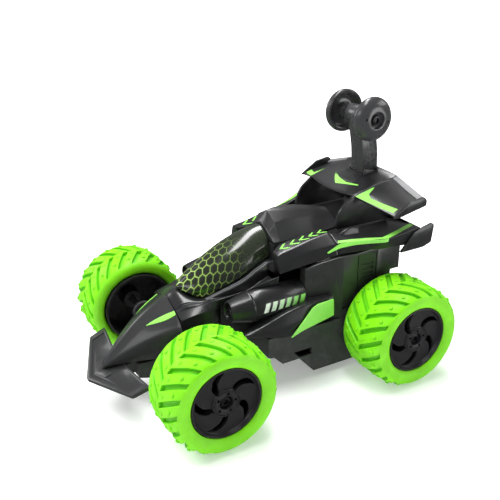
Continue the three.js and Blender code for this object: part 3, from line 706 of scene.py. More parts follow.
# Places of the tread's columns in one lug's pitch, with how deep the outer and the inner slots are there.
TREAD_COLUMNS = (
    (0.0, 0.08, 0.08), (0.02, 0.75, 0.0), (0.04, 1.0, 0.0), (0.18, 1.0, 0.0), (0.32, 1.0, 0.0),
    (0.34, 0.75, 0.0), (0.36, 0.08, 0.0), (0.385, 0.0, 0.0), (0.5, 0.0, 0.0), (0.615, 0.0, 0.0),
    (0.64, 0.0, 0.08), (0.66, 0.0, 0.75), (0.68, 0.0, 1.0), (0.82, 0.0, 1.0), (0.96, 0.0, 1.0),
    (0.98, 0.0, 0.75),
)
# How much painted shade a slot's floor gets; the walls beside it get more.
SLOT_FLOOR_SHADE = 0.5
OUTER_SWEEP, INNER_SWEEP = math.radians(-20.5), math.radians(-19.0)
OUTER_SLOT_END_X, INNER_SLOT_END_X = 81.0, 47.4
# One lug's pips: where across the tyre, where in the lug's pitch, and how tall.
PIPS = ((67.7, 0.68, 0.88), (76.2, 0.68, 1.8), (60.6, 0.32, 0.88), (52.6, 0.32, 1.4))
# A pip's profile as (radius, height share); the first ring is sunk in the lug.
PIP_RINGS = ((1.35, -0.9), (1.3, 0.05), (1.1, 0.62), (0.66, 0.95), (0.3, 1.0))
# Painted contact shade round a pip's foot, for each of its rings.
PIP_SHADE = (1.0, 0.9, 0.1, 0.0, 0.0)
PIP_STEPS = 10
# The distance over which the skin's slope under a pip is taken.
SLOPE_STEP = 0.5
# How far the first lug and the first rim blade are turned on each wheel, in degrees.
LUG_TURN = {"front_left": 139.3, "rear_left": 147.4, "front_right": 75.1, "rear_right": 80.0}
RIM_TURN = {"front_left": 125.0, "rear_left": 132.0, "front_right": 20.0, "rear_right": 8.0}


def tyre_rows():
    """The tyre's outside as rows of (distance from the tread's middle, x, radius, slot depth share)."""
    line = np.array(curve_through(TYRE_SKIN, 12))
    run = np.concatenate(([0.0], np.cumsum(np.linalg.norm(np.diff(line, axis=0), axis=1))))
    outer_side = line[:, 1] > BEAD_RADIUS
    middle = np.interp(TREAD_MIDDLE_X, line[outer_side, 0], run[outer_side])
    places = run - middle
    out_end = np.interp(OUTER_SLOT_END_X, line[outer_side, 0], places[outer_side])
    in_end = -np.interp(INNER_SLOT_END_X, line[outer_side, 0], places[outer_side])
    wanted = [(0.0, 0.0)]
    for sign, reach in ((1, out_end), (-1, in_end)):
        wanted += [(sign * place_on, share) for place_on, share in SLOT_START]
        full = reach - SLOT_ENDS_LENGTH
        count = round((full - 0.2) / SLOT_ROW_STEP)
        wanted += [(sign * (SLOT_START[-1][0] + full * k / count), 1.0) for k in range(1, count + 1)]
        wanted += [(sign * (reach - short), share) for short, share in SLOT_END]
    wanted += [(p, 0.0) for p in places if p > out_end + 0.4 or p < -in_end - 0.4]
    wanted.sort()
    kept = [wanted[0]]
    for row in wanted[1:]:
        in_slot = row[1] > 0 or kept[-1][1] > 0 or abs(row[0]) < out_end + 0.1
        if in_slot or row[0] - kept[-1][0] > PLAIN_ROW_STEP:
            kept.append(row)
    return [(p, float(np.interp(p, places, line[:, 0])), float(np.interp(p, places, line[:, 1])), d)
            for p, d in kept], out_end, in_end


def tyre_form(y0, turn, lugs, depth, pip_height):
    """A tyre with two rows of slanted slots that meet in a zigzag, and small round pips on its lugs."""
    rows, out_end, in_end = tyre_rows()
    pitch = 2 * math.pi / lugs
    points, recess = [], []
    for i, (place_on, x, radius, share) in enumerate(rows):
        ahead, behind = rows[min(i + 1, len(rows) - 1)], rows[max(i - 1, 0)]
        along = Vector((ahead[1] - behind[1], ahead[2] - behind[2])).normalized()
        inward = Vector((along.y, -along.x))
        outer = place_on >= 0
        reach = min(abs(place_on) / (out_end if outer else in_end), 1.0)
        sweep = (OUTER_SWEEP if outer else INNER_SWEEP) * reach
        for lug in range(lugs):
            for fraction, outer_depth, inner_depth in TREAD_COLUMNS:
                down = share * (outer_depth if outer else inner_depth)
                angle = turn + sweep + (lug + fraction) * pitch
                across, away = x + inward.x * depth * down, radius + inward.y * depth * down
                points.append((across, *on_circle((y0, AXLE_Z), away, angle)))
                # Painted shade for each point: darkest down the slot walls, less on the slot floors.
                recess.append(SLOT_FLOOR_SHADE if down == 1.0 else min(1.0, 1.4 * down))
    columns = lugs * len(TREAD_COLUMNS)
    # The hidden inner side runs back from the outer bead to the inner one.
    faces = grid_faces(len(rows), columns, close_rows=True, close_columns=True)
    if pip_height > 0:
        outer_line = np.array([(r[1], r[2], r[0]) for r in rows if r[2] > BEAD_RADIUS])
        for x, fraction, tall in PIPS:
            radius = float(np.interp(x, outer_line[:, 0], outer_line[:, 1]))
            ahead = float(np.interp(x + SLOPE_STEP, outer_line[:, 0], outer_line[:, 1]))
            slope = (ahead - radius) / SLOPE_STEP
            reach = abs(float(np.interp(x, outer_line[:, 0], outer_line[:, 2])))
            outer = x > TREAD_MIDDLE_X
            sweep = (OUTER_SWEEP * reach / out_end) if outer else (INNER_SWEEP * reach / in_end)
            for lug in range(lugs):
                angle = turn + sweep + (lug + fraction) * pitch
                more, more_faces = pip(x, radius, slope, angle, y0, pip_height * tall)
                start = len(points)
                points.extend(more)
                # Painted shade round each pip's foot.
                recess.extend([PIP_SHADE[i // PIP_STEPS] for i in range(len(more))])
                faces.extend(tuple(start + i for i in face) for face in more_faces)
    return points, faces, recess


def pip(x, radius, slope, angle, y0, height):
    out = Vector((-slope, 1.0)).normalized()
    side = Vector((out.y, -out.x))
    points = []
    for ring, up in PIP_RINGS:
        for k in range(PIP_STEPS):
            a = 2 * math.pi * k / PIP_STEPS
            u, w = ring * math.cos(a), ring * math.sin(a)
            across = x + side.x * u + out.x * up * height
            away = radius + side.y * u + out.y * up * height
            turn = angle + w / radius
            points.append((across, *on_circle((y0, AXLE_Z), away, turn)))
    faces = grid_faces(len(PIP_RINGS), PIP_STEPS, close_columns=True)
    faces.append(tuple(range(PIP_STEPS)))
    faces.append(tuple(range((len(PIP_RINGS) - 1) * PIP_STEPS, len(PIP_RINGS) * PIP_STEPS)))
    return points, faces


class STUNTCAR_OT_tyres(Operator):
    """Build the four lugged tyres"""
    bl_idname = "stuntcar.tyres"
    bl_label = "Tyres"

    def execute(self, context):
        wheels = context.scene.car_wheels
        for corner, side, y0 in WHEELS:
            turn = math.radians(LUG_TURN[corner])
            points, faces, recess = tyre_form(
                y0, turn, wheels.lugs, wheels.tread_depth / MM, wheels.pip_height / MM)
            form = (points, faces) if side == "left" else turned_round((points, faces), y0)
            mesh = bpy.data.meshes.new("tyre")
            mesh.from_pydata(to_frame(form[0]), [], form[1])
            # The painted shade of the slots and the pips' feet, one value for each point.
            depth = mesh.attributes.new("recess", "FLOAT", "POINT")
            depth.data.foreach_set("value", recess)
            clean(mesh, merging=False)
            place(linked("tyre", mesh), f"tyre_{corner}_lugged", f"wheel_{corner}", FINISHES["tyre"],
                  "lime_tyre", f"tyre_{corner}")
        return {"FINISHED"}


RIM_PROFILE = (
    (43.3, 23.2), (44.2, 23.3), (79.4, 20.85), (80.0, 20.7), (80.2, 20.3), (80.1, 19.8), (79.4, 19.5),
    (78.4, 19.3), (77.9, 18.9), (77.8, 16.0), (78.0, 12.0), (78.2, 9.2), (78.3, 8.6), (79.1, 8.35),
    (79.35, 8.0), (79.3, 7.6), (78.9, 7.4), (78.9, 7.2), (79.2, 7.0), (79.25, 4.6), (79.0, 4.1), (77.0, 3.7),
    (76.4, 3.6), (76.3, 2.3), (58.0, 2.3), (57.8, 5.8), (58.2, 6.0), (74.8, 7.5), (75.6, 8.2), (75.6, 18.9),
    (75.0, 19.5), (44.2, 21.7), (43.3, 21.9),
)
BLADE_COUNT = 5
BLADE_PITCH = 2 * math.pi / BLADE_COUNT
# One opening between two blades: (radius, angle in degrees).
SWIRL = ((8.0, -6), (10.2, -8), (12.6, -4), (15.2, 6), (16.8, 13), (18.0, 22), (18.8, 38), (18.2, 36),
         (16.8, 30), (15.2, 25), (13.2, 18), (11.2, 14), (9.2, 11), (8.2, 5))

# The openings go through the face between these two x.
FACE_CUT = (74.0, 80.0)
BOLT_CIRCLE, BOLT_TURN = 5.5, 0.35
BOLT_HOLE = ((78.0, 0.0), (78.0, 0.85), (80.0, 0.85), (80.0, 0.0))
# A rib between the hub's tube and the barrel, behind a blade, and how far it is turned from the opening.
RIB_BLOCK, RIB_TURN = (68.6, 76.0, 6.4, 20.6, -0.6, 0.6), 0.18
# A plain dark disc deeper in the barrel closes it behind the blades, a sheet standing in for the shade deep
# in the openings.
SHADE_BACKING_DISC = ((66.0, 6.2), (66.0, 20.4), (67.4, 20.4), (67.4, 18.6), (68.2, 17.8), (68.2, 8.6), (67.4, 7.8),
             (67.4, 6.2))


def rim_object(y0, turn):
    middle = (y0, AXLE_Z)
    obj = solid(turned(RIM_PROFILE, *middle, 120), "rim")
    bolts, ribs = [], []
    for blade in range(BLADE_COUNT):
        ring = [on_circle(middle, radius, turn - math.radians(angle) + blade * BLADE_PITCH)
                for radius, angle in SWIRL]
        combine(obj, "DIFFERENCE", prism(curve_through(ring, 4, closed=True), *FACE_CUT, "X"))
        bolt = on_circle(middle, BOLT_CIRCLE, turn + (blade + BOLT_TURN) * BLADE_PITCH)
        bolts.append(turned(BOLT_HOLE, *bolt, 12))
        a = turn + (blade + RIB_TURN) * BLADE_PITCH
        c, s = math.cos(a), math.sin(a)
        ribs.append(moved(block(*RIB_BLOCK), lambda x, y, z, c=c, s=s: (
            x, y0 + y * c - z * s, AXLE_Z + y * s + z * c)))
    combine(obj, "DIFFERENCE", *bolts)
    round_edges(obj, 0.45, angle=50)
    disc = solid(turned(SHADE_BACKING_DISC, *middle, 72))
    return merge("rim", obj, round_edges(solid(together(*ribs), "ribs"), 0.25), disc)


# A screw's seat, top and head radius, at the hubs and on the arm's pin.
HUB_SCREW, ARM_SCREW = (76.6, 78.2, 3.2), (17.7, 19.2, 3.2)
SHANK_RADIUS, SHANK_LENGTH = 0.8, 4.0
# The socket's corners lie at this share of the head's radius.
SOCKET_SHARE = 0.58


def screw_object(y, z, seat, top, radius):
    """A domed screw head with a six-sided socket."""
    head = solid(turned((
        (seat - SHANK_LENGTH, 0.0), (seat - SHANK_LENGTH, SHANK_RADIUS), (seat, SHANK_RADIUS), (seat, radius),
        (seat + 0.5, radius), (top - 0.35, radius * 0.86), (top - 0.1, radius * 0.55), (top, 0.0),
    ), y, z, 40), "screw")
    socket = [on_circle((y, z), radius * SOCKET_SHARE, math.radians(60 * corner + 12)) for corner in range(6)]
    combine(head, "DIFFERENCE", prism(socket, seat + 0.25, top + 1, "X"))
    return round_edges(head, 0.08, angle=50, segments=1)


class STUNTCAR_OT_rims(Operator):
    """Build the four swirl rims and their hub screws"""
    bl_idname = "stuntcar.rims"
    bl_label = "Rims"

    def execute(self, context):
        for corner, side, y0 in WHEELS:
            rim = rim_object(y0, math.radians(RIM_TURN[corner]))
            screw = screw_object(y0, AXLE_Z, *HUB_SCREW)
            if side == "right":
                turn = Matrix.Translation((0, (y0 + WHEELBASE_MIDDLE_Y) * MM, 0))
                turn = turn @ Matrix.Rotation(math.pi, 4, "Z") @ turn.inverted()
                rim.data.transform(turn)
                screw.data.transform(turn)
            body = f"wheel_{corner}"
            place(rim, f"rim_{corner}_swirl", body, FINISHES["rim"], "rim_black", f"rim_{corner}")
            place(screw, f"wheel_screw_{corner}_head", body, FINISHES["dark_steel"], "steel",
                  f"wheel_screw_{corner}")
        return {"FINISHED"}


# ---- nose and bumper ----
NOSE_STATIONS = (
    (-107.0, 0.8, 25.0, 23.8), (-100.0, 5.5, 33.4, 26.6), (-90.0, 11.5, 44.0, 29.0),
    (-81.0, 16.0, 52.0, 30.0), (-72.0, 20.3, 57.4, 30.8), (-63.8, 24.0, 61.0, 32.0),
)
NOSE_SECTION = ((0.0, 1.0), (0.31, 0.914), (0.604, 0.81), (0.896, 0.62), (1.0, 0.35))


def nose_half(half, ridge, sill, shrink=0.0, floor=0.0):
    rise = ridge - sill
    line = curve_through(NOSE_SECTION, 4, ghost=(-0.31, 0.93))
    skin = [((half - shrink) * share, sill + (rise - shrink) * height) for share, height in line]
    edge = (half - shrink) * 0.975
    return [*skin, (edge, sill + 0.5 - floor), (edge - 0.4, sill - floor), (0.0, sill - floor)]


def axle_arch():
    """The room that the front axle's housing takes up."""
    return middle_block(40.0, AXLE_Y["front"] - 8, AXLE_Y["front"] + 8, 20.0, AXLE_Z + 6)


class STUNTCAR_OT_nose(Operator):
    """Build the nose cone, its green leaves and the arrow bumper"""
    bl_idname = "stuntcar.nose"
    bl_label = "Nose and bumper"

    def execute(self, context):
        edge = context.scene.car_shells.edge / MM
        nose = solid(body_loft(NOSE_STATIONS, nose_half, 1.2), "nose")
        lining = [(y + 4, *rest) for y, *rest in NOSE_STATIONS[1:]]
        hollow = body_loft(lining, lambda *row: nose_half(*row, shrink=2.0, floor=6.0), 4.0)
        combine(nose, "DIFFERENCE", hollow, axle_arch())
        place(nose, "nose_cone_shell", "root", FINISHES["charcoal"], "charcoal_plastic", "nose_cone")
        skin = surfaces("nose_cone_shell")
        for side, sign in SIDES.items():
            leaf = solid(ribbon(*leaf_lines(sign), skin, lift=0.45, depth=0.2), "leaf")
            place(leaf, f"nose_leaf_{side}", "root", FINISHES["trim"], "lime_trim", f"nose_insert_{side}")
        place(bumper_object(edge), "front_bumper_arrow", "root", FINISHES["charcoal"],
              "charcoal_plastic", "front_bumper")
        return {"FINISHED"}


# y, inner edge and outer edge, as shares of the nose's half width.
LEAF_STATIONS = ((-80.5, 0.5, 0.51), (-76.0, 0.5, 0.6), (-70.0, 0.51, 0.65), (-64.4, 0.53, 0.63))


def leaf_lines(sign):
    """The two edges of the slim leaf on one flank of the nose, as (x, y)."""
    low, high = [], []
    for y, inner, outer in between(LEAF_STATIONS, 1.5):
        half = np.interp(y, [s[0] for s in NOSE_STATIONS], [s[1] for s in NOSE_STATIONS])
        low.append((sign * half * inner, y))
        high.append((sign * half * outer, y))
    return low, high


BUMPER_SLOPE = 0.35
BUMPER_TIP = (-117.0, 19.8)
BUMPER_OUTLINE = (
    (0.0, 0.0), (37.0, 14.5), (38.3, 25.0), (13.5, 22.0), (-13.5, 22.0), (-38.3, 25.0), (-37.0, 14.5))
BUMPER_THICKNESS = 2.4
# A raised field in the middle of the bumper's recess, and the x of the stiffening ribs below.
BUMPER_FIELD = ((0.0, 5.6), (9.0, 9.0), (9.0, 13.5), (0.0, 10.5), (-9.0, 13.5), (-9.0, 9.0))
BUMPER_RIBS = (-9.0, 9.0)


def on_bumper(form):
    """Tilts a form drawn flat, with its front tip at the origin, onto the bumper."""
    slope = math.atan(BUMPER_SLOPE)
    c, s = math.cos(slope), math.sin(slope)
    tip_y, tip_z = BUMPER_TIP
    return moved(form, lambda x, y, z: (x, tip_y + y - z * s, tip_z + y * BUMPER_SLOPE + z * c))


def bumper_object(edge):
    """A flat arrow with a shallow recess behind its raised rim, and ribs below."""
    plate = solid(on_bumper(prism(filleted(BUMPER_OUTLINE, 1.2, 4), -BUMPER_THICKNESS, 0.0, "Z")), "bumper")
    recess = [(x * 0.87, 3.2 + y * 0.80) for x, y in BUMPER_OUTLINE]
    combine(plate, "DIFFERENCE", on_bumper(prism(filleted(recess, 1.0), -0.5, 1.0, "Z")))
    combine(plate, "UNION", on_bumper(prism(filleted(BUMPER_FIELD, 0.6), -1.0, 0.0, "Z")))
    ribs = together(*[block(x - 0.6, x + 0.6, 8.0, 21.0, -4.0, -2.0) for x in BUMPER_RIBS])
    return merge("bumper", round_edges(plate, edge * 0.6), round_edges(solid(on_bumper(ribs)), 0.25))


# ---- cockpit ----
POD_X, POD_Z = 29.4, 56.4
POD_ROOM = ((-37.4, 0.0), (-37.4, 6.2), (-35.9, 6.7), (-24.4, 9.4), (14.0, 9.4), (14.0, 0.0))
# The pod's room in the cowl is wider than the pod by this much.
POD_GAP = 0.3
# y, top, shelf (x, z), rail z, valley z, belt (x, z), belt's lower edge z, neck (x, z), sill.
COWL_STATIONS = (
    (-63.4, 61.0, 7.6, 58.6, 57.4, 56.6, 15.0, 55.8, 53.8, 21.3, 50.6, 32.0),
    (-57.4, 64.2, 8.0, 61.4, 60.0, 59.0, 17.0, 57.6, 55.4, 22.2, 54.0, 31.4),
    (-46.0, 60.0, 12.3, 59.9, 60.3, 60.2, 20.3, 60.4, 56.8, 23.0, 55.6, 31.0),
    (-41.0, 61.0, 13.2, 61.3, 61.9, 61.2, 22.4, 62.0, 57.4, 23.0, 55.0, 31.0),
    (-37.5, 62.2, 13.8, 62.4, 63.0, 60.9, 23.0, 62.4, 57.6, 19.8, 54.0, 31.0),
    (-30.0, 64.4, 14.8, 64.8, 65.2, 60.9, 24.6, 63.8, 58.6, 19.8, 54.0, 31.0),
    (-21.0, 67.4, 15.4, 67.6, 68.0, 61.6, 26.3, 65.9, 61.0, 19.8, 54.0, 31.0),
    (-10.0, 72.8, 15.0, 73.0, 73.4, 65.4, 29.4, 69.8, 64.4, 19.8, 54.0, 31.0),
    (-3.4, 75.2, 14.0, 75.4, 75.8, 67.4, 31.0, 71.8, 66.4, 19.8, 54.0, 31.0),
)


def cowl_section(top, shelf_x, shelf_z, rail_z, valley_z, belt_x, belt_z, under_z, neck_x, neck_z, sill):
    rail = min(shelf_x + 4.2, belt_x - 1.4)
    skirt = max(neck_x, belt_x - 0.7) if neck_x > 20.0 else belt_x - 0.7
    under = min(under_z, valley_z - 1.2)
    half = [(0.0, top), (shelf_x, shelf_z), (rail, rail_z), (rail + 0.4, valley_z),
            (belt_x - 1.2, valley_z - 0.1), (belt_x - 0.7, belt_z), (belt_x, belt_z), (skirt, under),
            (min(neck_x, skirt - 0.3), under - 0.6), (neck_x, neck_z - 4.0), (neck_x, sill), (0.0, sill)]
    reach = [4.0, 2.0, 0.4, 0.5, 0.5, 0.3, 0.4, 0.5, 0.3, 0.5, 0.5, 0.0]
    return filleted_halves(half, reach)


# A rail's inner edge, as (x, y).
RAIL_PATH = ((14.6, -45.0), (15.3, -38.0), (16.1, -28.0), (16.5, -18.0), (16.3, -9.0), (15.6, -4.0))
RAIL_WIDTH, RAIL_PITCH = 0.7, 1.7


class STUNTCAR_OT_cowl(Operator):
    """Build the cowl round the cockpit, with its twin rails"""
    bl_idname = "stuntcar.cowl"
    bl_label = "Cowl"

    def execute(self, context):
        cowl = solid(body_loft(COWL_STATIONS, cowl_section, mirrored_half=False), "cowl")
        wider = [(y, radius + POD_GAP if radius else 0.0) for y, radius in POD_ROOM]
        room = turned(wider, POD_X, POD_Z, 72, axis="Y")
        combine(cowl, "DIFFERENCE", axle_arch(), room, mirror(room))
        place(cowl, "cowl_shell", "root", FINISHES["shell"], "black_plastic", "cowl")
        skin = surfaces("cowl_shell")
        for side, sign in SIDES.items():
            rails = []
            for shift in (0.0, RAIL_PITCH):
                lines = [[(sign * (x + across), y) for x, y in curve_through(RAIL_PATH, 3)]
                         for across in (shift, shift + RAIL_WIDTH)]
                rails.append(ribbon(*lines, skin, lift=0.5, depth=0.3))
            rail = round_edges(solid(together(*rails)), 0.18, angle=50)
            place(rail, f"cowl_rails_{side}", "root", FINISHES["grey_lip"], "black_plastic")
        return {"FINISHED"}


CANOPY_STATIONS = (
    (-57.0, 1.5, 66.2, 64.9), (-52.0, 8.4, 69.6, 62.9), (-46.0, 12.0, 73.6, 60.7), (-34.0, 14.0, 81.4, 64.4),
    (-21.0, 14.8, 88.0, 69.0), (-10.0, 14.1, 91.8, 73.3), (0.9, 12.4, 94.0, 77.6),
)
CANOPY_STEPS = 22
# Below 1, the bubble is fuller than an ellipse.
CANOPY_FULLNESS = 0.85


def canopy_half(half, crown, foot):
    arc = []
    for step in range(CANOPY_STEPS + 1):
        a = step / CANOPY_STEPS * math.pi / 2
        arc.append((half * math.sin(a), foot + (crown - foot) * math.cos(a) ** CANOPY_FULLNESS))
    return [*arc, (half - 0.3, foot - 0.2), (0.0, foot - 0.2)]


class STUNTCAR_OT_canopy(Operator):
    """Build the smoked bubble canopy with its printed honeycomb"""
    bl_idname = "stuntcar.canopy"
    bl_label = "Canopy"

    def execute(self, context):
        canopy = solid(body_loft(CANOPY_STATIONS, canopy_half, 1.2), "canopy")
        unrolled = canopy.data.attributes.new("unrolled", "FLOAT_VECTOR", "POINT")
        rows = np.array(between(CANOPY_STATIONS, 1.0))
        run = np.concatenate(([0.0], np.cumsum(np.hypot(np.diff(rows[:, 0]), np.diff(rows[:, 2])))))
        run -= np.interp(0.0, rows[:, 0], run)
        values = []
        for vertex in canopy.data.vertices:
            x, y, z = vertex.co.x / MM, vertex.co.y / MM - WHEELBASE_MIDDLE_Y, vertex.co.z / MM
            half, crown, foot = (float(np.interp(y, rows[:, 0], rows[:, k])) for k in (1, 2, 3))
            a = math.atan2(abs(x) / max(half, 0.1), max(z - foot, 0.0) / max(crown - foot, 0.1))
            girth = (half + crown - foot) / 2
            values.extend((math.copysign(a * girth, x), float(np.interp(y, rows[:, 0], run)), 0.0))
        unrolled.data.foreach_set("vector", values)
        place(canopy, "canopy_bubble", "root", FINISHES["canopy"], "canopy_print", "canopy")
        return {"FINISHED"}


# y, ridge, shoulder of the ridge (x, z), crease (x, z), base.
ENGINE_STATIONS = (
    (1.3, 95.6, 6.6, 93.5, 9.8, 91.3, 86.8), (6.0, 102.4, 1.0, 102.2, 9.9, 97.2, 86.8),
    (13.0, 102.8, 3.4, 102.1, 10.0, 98.3, 86.8), (24.0, 102.2, 4.6, 101.2, 10.0, 97.6, 86.9),
    (36.0, 100.2, 5.0, 98.9, 10.0, 95.2, 87.1), (50.0, 96.6, 5.0, 95.3, 10.0, 92.4, 89.0),
)
ENGINE_HALF = 17.0


def engine_half(ridge, side_x, side_z, crease_x, crease_z, base):
    half = [(0.0, ridge), (side_x, side_z), (crease_x, crease_z), (ENGINE_HALF, base + 0.8),
            (ENGINE_HALF, base), (0.0, base)]
    return filleted(half, [0.0, min(side_x * 0.45, 2.0), 0.7, 0.5, 0.2, 0.0], 4)


# The spine's two stacked boxes and the room in each: half width, y from and to, z from and to.
SPINE_BOXES = ((17.0, -3.0, 33.7, 44.6, 75.4), (17.0, 1.2, 33.7, 60.0, 86.4))
SPINE_ROOMS = ((15.0, -1.0, 31.7, 40.0, 73.4), (15.0, 3.2, 31.7, 60.0, 84.4))


class STUNTCAR_OT_engine_cover(Operator):
    """Build the engine cover and the spine under it"""
    bl_idname = "stuntcar.engine_cover"
    bl_label = "Engine cover"

    def execute(self, context):
        cover = solid(body_loft(ENGINE_STATIONS, engine_half, 6.0, lip=0.5), "cover")
        place(cover, "engine_cover_shell", "root", FINISHES["charcoal"], "charcoal_plastic", "engine_cover")
        shade(cover, 22)
        spine = solid(middle_block(*SPINE_BOXES[0]))
        combine(spine, "UNION", middle_block(*SPINE_BOXES[1]))
        combine(spine, "DIFFERENCE", *[middle_block(*room) for room in SPINE_ROOMS])
        place(round_edges(spine, 0.4), "spine_shell", "root", FINISHES["shell"], "black_plastic", "spine")
        return {"FINISHED"}


# y, inner x, inner top, edge x, edge top, line x, line z, belt x, belt z.
SHOULDER_STATIONS = (
    (-3.0, 22.6, 84.6, 28.6, 84.4, 29.9, 80.5, 31.6, 73.4),
    (6.0, 17.4, 86.5, 28.0, 86.2, 31.2, 82.0, 33.8, 75.6),
    (20.0, 17.4, 88.6, 28.0, 89.4, 33.6, 84.8, 36.4, 78.2),
    (33.7, 17.4, 90.0, 28.0, 91.5, 36.7, 87.1, 38.8, 80.4),
)


def shoulder_section(inner, inner_top, edge, edge_top, line, line_z, belt, belt_z):
    ring = [(inner, belt_z + 4), (inner, inner_top), (edge, edge_top), (line, line_z), (belt, belt_z),
            (belt - 2, belt_z)]
    return filleted(ring, [0.4, 0.4, 0.9, 0.6, 0.5, 0.5], 3)


def shoulder_object():
    return solid(body_loft(SHOULDER_STATIONS, shoulder_section, mirrored_half=False))


class STUNTCAR_OT_shoulders(Operator):
    """Build the boxes beside the cockpit"""
    bl_idname = "stuntcar.shoulders"
    bl_label = "Shoulders"

    def execute(self, context):
        pair_of(shoulder_object, "shoulder", FINISHES["shell"], "charcoal_plastic")
        return {"FINISHED"}


# ---- tail ----
# y, middle z, crest z, edge x, edge z, belt x, belt z.
DECK_STATIONS = (
    (34.0, 86.1, 91.5, 36.8, 87.2, 38.8, 80.4), (44.0, 87.6, 89.9, 40.6, 88.2, 42.0, 81.5),
    (52.0, 88.4, 88.8, 44.8, 88.8, 44.8, 82.0), (62.6, 88.5, 89.0, 50.2, 89.4, 48.8, 82.4),
    (87.0, 88.5, 89.6, 50.2, 92.2, 49.0, 80.4),
)


def deck_section(middle, crest, edge, edge_z, belt, belt_z):
    half = [(0.0, middle), (17.4, middle), (28.0, crest), (edge, edge_z), (belt, belt_z), (belt - 2, belt_z),
            (edge - 3, edge_z - 2.4), (28.0, crest - 2.4), (17.4, middle - 2.4), (0.0, middle - 2.4)]
    reach = [1.0, 2.5, 2.5, 0.6, 0.5, 0.5, 1.0, 1.5, 1.5, 1.0]
    return filleted_halves(half, reach)


LOWER_WINGLET = ((72.0, 78.0), (82.4, 90.0), (96.2, 93.2), (97.7, 91.4), (96.4, 80.3), (90.2, 78.2))
UPPER_WINGLET = ((64.5, 102.0), (77.5, 110.2), (87.5, 111.7), (89.8, 109.3), (89.5, 105.8), (67.4, 101.4))


WINGLET_X = (49.6, 51.2)
# The rib beside the engine cover: y, foot z, top z.
DECK_RIB_STATIONS = ((37.6, 87.2, 88.4), (42.0, 87.2, 91.6), (48.0, 87.2, 93.0), (54.4, 87.2, 91.8))
BACK_WALL = (39.6, 73.0, 75.0, 45.0, 87.0)


def deck_rib_section(low, top):
    return filleted([(30.0, low), (30.0, top), (31.4, top), (33.0, low)], 0.5, 3)


def winglets(outline, edge):
    plate = prism(filleted(outline, 0.9), *WINGLET_X, "X")
    return [round_edges(solid(form), edge) for form in (plate, mirror(plate))]


class STUNTCAR_OT_rear_deck(Operator):
    """Build the rear deck with its ribs, winglets and back wall"""
    bl_idname = "stuntcar.rear_deck"
    bl_label = "Rear deck"

    def execute(self, context):
        edge = context.scene.car_shells.edge / MM
        skin = solid(body_loft(DECK_STATIONS, deck_section, mirrored_half=False))
        rib = body_loft(DECK_RIB_STATIONS, deck_rib_section, mirrored_half=False)
        wall = round_edges(solid(middle_block(*BACK_WALL)), edge)
        deck = merge("deck", skin, solid(rib), solid(mirror(rib)), *winglets(LOWER_WINGLET, edge * 0.8), wall)
        place(deck, "rear_deck_shell", "root", FINISHES["shell"], "black_plastic", "rear_deck")
        return {"FINISHED"}


TAIL_ARC = ((43.0, 89.8), (42.4, 93.0), (43.4, 98.0), (46.4, 103.6), (54.5, 110.0))
ROOF_LINE = ((54.5, 110.0), (64.0, 113.0), (73.0, 115.4), (83.0, 116.6), (88.0, 118.4))
ROOF_UNDER = ((88.0, 116.0), (83.0, 114.0), (73.0, 113.0), (64.0, 110.8), (56.0, 108.4))
WING_TIP = ((66.0, 102.8), (71.0, 104.2), (76.0, 105.2), (84.0, 106.6), (90.0, 109.4),
            (90.0, 107.0), (84.0, 104.6), (76.0, 103.4), (71.0, 102.6), (66.6, 101.4))
ROOF_HALF, ROOF_STEPS = 23.6, 24
# The roof's front lip bows forwards and dips in the middle; both fade out towards the arm.
ROOF_BULGE, ROOF_DIP = 3.0, 1.6
ROOF_FRONT_Y, ROOF_LEVEL_Y = 54.5, 73.0
# How high the roof is crowned, and the height where the crown is full.
ROOF_CROWN, ROOF_CROWN_Z = 0.8, 113.0
WALL_X = (22.0, 24.0)
WING_FROM, WING_TO, WING_STEPS = 22.6, 50.0, 12
# The arm's socket and its room: half width, y from and to, z from and to.
SOCKET, SOCKET_ROOM = (8.6, 72.0, 88.0, 103.0, 116.4), (6.5, 74.2, 86.5, 104.7, 130.0)
COLLAR_X = (6.7, 8.4)
COLLAR = ((73.6, 114.0), (75.0, 119.6), (87.4, 116.8), (87.4, 114.0))


def tail_roof():
    """The crowned roof between the side walls."""
    rings = []
    outline = [*curve_through(ROOF_LINE, 4), *curve_through(ROOF_UNDER, 4)]
    for k in range(ROOF_STEPS + 1):
        x = -ROOF_HALF + 2 * ROOF_HALF * k / ROOF_STEPS
        bow = 1 - (x / ROOF_HALF) ** 2
        ring = []
        for y, z in outline:
            front = max(0.0, min(1.0, (ROOF_LEVEL_Y - y) / (ROOF_LEVEL_Y - ROOF_FRONT_Y)))
            crown = ROOF_CROWN * bow * (1 - abs(z - ROOF_CROWN_Z) / 40)
            ring.append((x, y - ROOF_BULGE * bow * front, z + crown - ROOF_DIP * bow * front))
        rings.append(ring)
    return loft(rings)


def tail_wing():
    """The upper wing on one side, from the side wall out to its winglet."""
    root = [*ROOF_LINE, *ROOF_UNDER]
    rings = []
    for k in range(WING_STEPS + 1):
        t = k / WING_STEPS
        x = WING_FROM + (WING_TO - WING_FROM) * t
        rings.append([(x, y0 + (y1 - y0) * t, z0 + (z1 - z0) * t)
                      for (y0, z0), (y1, z1) in zip(root, WING_TIP)])
    return loft(rings)


